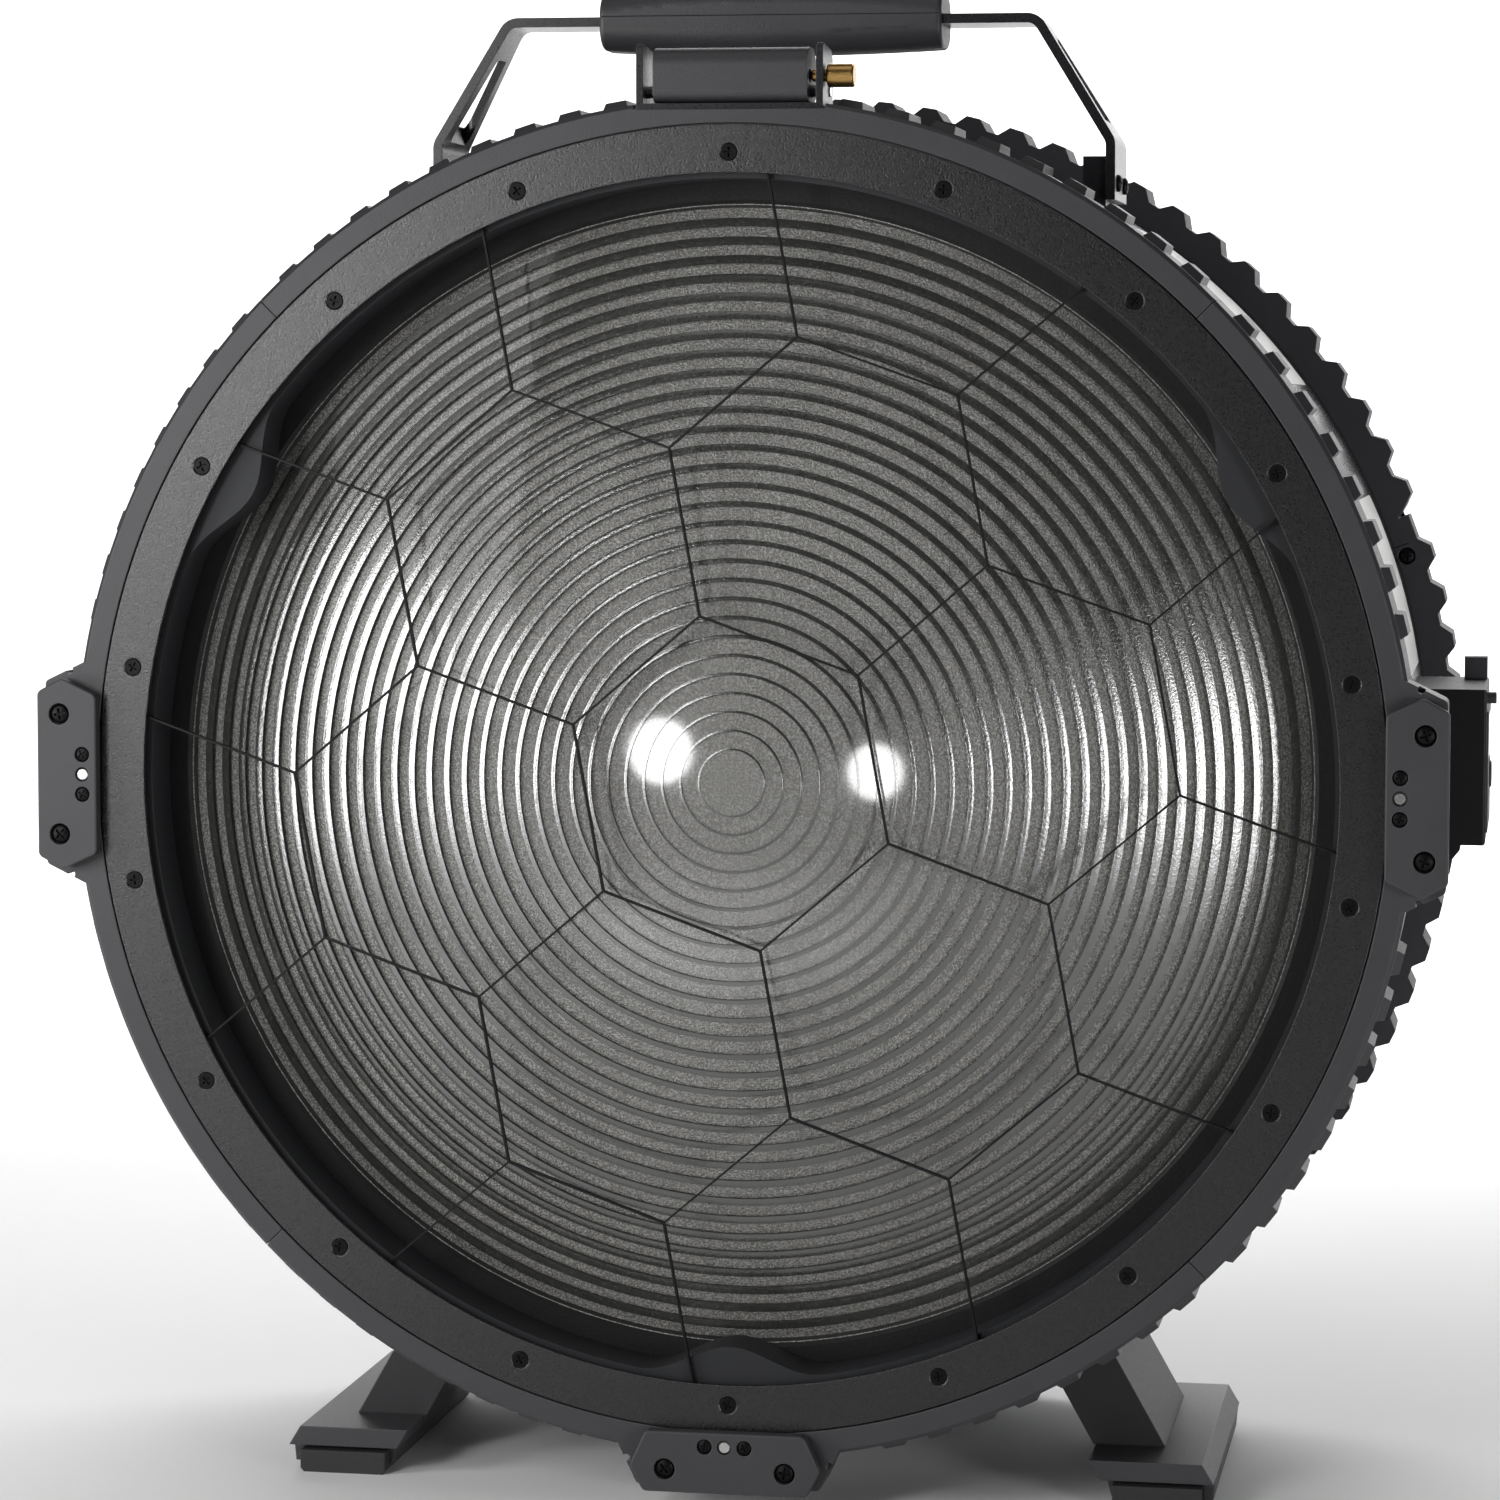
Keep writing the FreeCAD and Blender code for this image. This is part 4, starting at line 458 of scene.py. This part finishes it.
def make_floor():
    """A pale floor that curves up behind the object."""
    material, shader = new_material("studio_floor")
    links = material.node_tree.links
    cloud = remap(material, add_noise(material, 1.5, 2.0), 0.0, 1.0)
    links.new(mix_colour(material, cloud, (0.86, 0.86, 0.86), (0.90, 0.90, 0.90)),
              shader.inputs["Base Color"])
    shader.inputs["Roughness"].default_value = 0.9
    profile = [(FLOOR_FRONT, 0.0), (FLOOR_BACK, 0.0)]
    for i in range(1, SWEEP_PARTS + 1):
        turn = math.radians(90 * i / SWEEP_PARTS)
        profile.append((FLOOR_BACK + SWEEP_RADIUS * math.sin(turn),
                        SWEEP_RADIUS * (1 - math.cos(turn))))
    profile.append((FLOOR_BACK + SWEEP_RADIUS, WALL_TOP))
    mesh = bpy.data.meshes.new("studio_floor")
    build = bmesh.new()
    rows = [[build.verts.new((x, y, FLOOR_Z + z)) for x in (-FLOOR_HALF, FLOOR_HALF)]
            for y, z in profile]
    for low, high in zip(rows, rows[1:]):
        build.faces.new((low[0], low[1], high[1], high[0])).smooth = True
    build.to_mesh(mesh)
    build.free()
    mesh.materials.append(material)
    floor = bpy.data.objects.new("studio_floor", mesh)
    bpy.context.scene.collection.objects.link(floor)


def area_light(name, place, aim, size, power, round_shape):
    """A soft lamp that the camera itself does not see."""
    light = bpy.data.lights.new(name, "AREA")
    light.shape = "DISK" if round_shape else "RECTANGLE"
    light.size, light.size_y = size
    light.energy = power
    lamp = bpy.data.objects.new(name, light)
    lamp.location = place
    lamp.rotation_euler = (Vector(aim) - Vector(place)).to_track_quat("-Z", "Y").to_euler()
    lamp.visible_camera = False
    bpy.context.scene.collection.objects.link(lamp)


# name: (place, aim, size in metres, power in watts). The sparks make the bright fans on the
# lens, and the discs are the two small lamps that its middle mirrors.
HEAD_CENTRE = (0.0, -0.35, 0.0)
LAMPS = {
    "key_left": ((-0.82, -1.60, 0.40), HEAD_CENTRE, (0.35, 0.9), 10.5),
    "spark_left": ((-1.75, -1.20, 0.14), HEAD_CENTRE, (0.60, 0.95), 19),
    "spark_right": ((1.75, -1.70, -0.08), HEAD_CENTRE, (0.60, 0.54), 15),
    "top": ((0.0, -0.9, 2.2), HEAD_CENTRE, (1.6, 1.2), 5),
    "backdrop": ((0.0, 2.1, 2.2), (0.0, 2.9, 0.6), (3.5, 1.2), 180),
    "disc_left": ((-0.561, -2.30, -0.121), HEAD_CENTRE, (0.148, 0.148), 0.42),
    "disc_right": ((-0.072, -2.35, -0.161), HEAD_CENTRE, (0.126, 0.126), 0.30),
}
ROUND_LAMPS = ("disc_left", "disc_right")
AMBIENT = 0.02


def make_lights():
    """A soft key, lamps on both sides, a top light, one for the backdrop and two discs."""
    for name, (place, aim, size, power) in LAMPS.items():
        area_light(name, place, aim, size, power, name in ROUND_LAMPS)
    world = bpy.data.worlds.new("studio")
    world.use_nodes = True
    ambient = world.node_tree.nodes["Background"]
    ambient.inputs["Color"].default_value = (1.0, 1.0, 1.0, 1.0)
    ambient.inputs["Strength"].default_value = AMBIENT
    bpy.context.scene.world = world


# Place in metres, turn as a rotation vector in degrees, lens and sensor in millimetres.
CAMERA_PLACE = (0.403, -2.345, 0.1925)
CAMERA_TURN = (3.66, 0.51, -8.68)
CAMERA_LENS = 96.85
CAMERA_SHIFT = (-0.12, -0.06)
SENSOR_WIDTH = 36.0


def make_camera():
    """The view from the front, a little to the right of the axis and above it."""
    place = Vector(CAMERA_PLACE)
    turn = Vector([math.radians(angle) for angle in CAMERA_TURN])
    view = Matrix.Rotation(turn.length, 3, turn.normalized())
    right, forward, up = view[0], view[1], view[2]
    camera = bpy.data.cameras.new("camera")
    camera.sensor_width = SENSOR_WIDTH
    camera.lens = CAMERA_LENS
    camera.shift_x, camera.shift_y = CAMERA_SHIFT
    holder = bpy.data.objects.new("camera", camera)
    holder.matrix_world = Matrix.Translation(place) @ Matrix(
        (right, up, -forward)).transposed().to_4x4()
    bpy.context.scene.collection.objects.link(holder)
    bpy.context.scene.camera = holder


make_floor()
make_lights()
make_camera()
bpy.context.scene.view_settings.view_transform = "Standard"
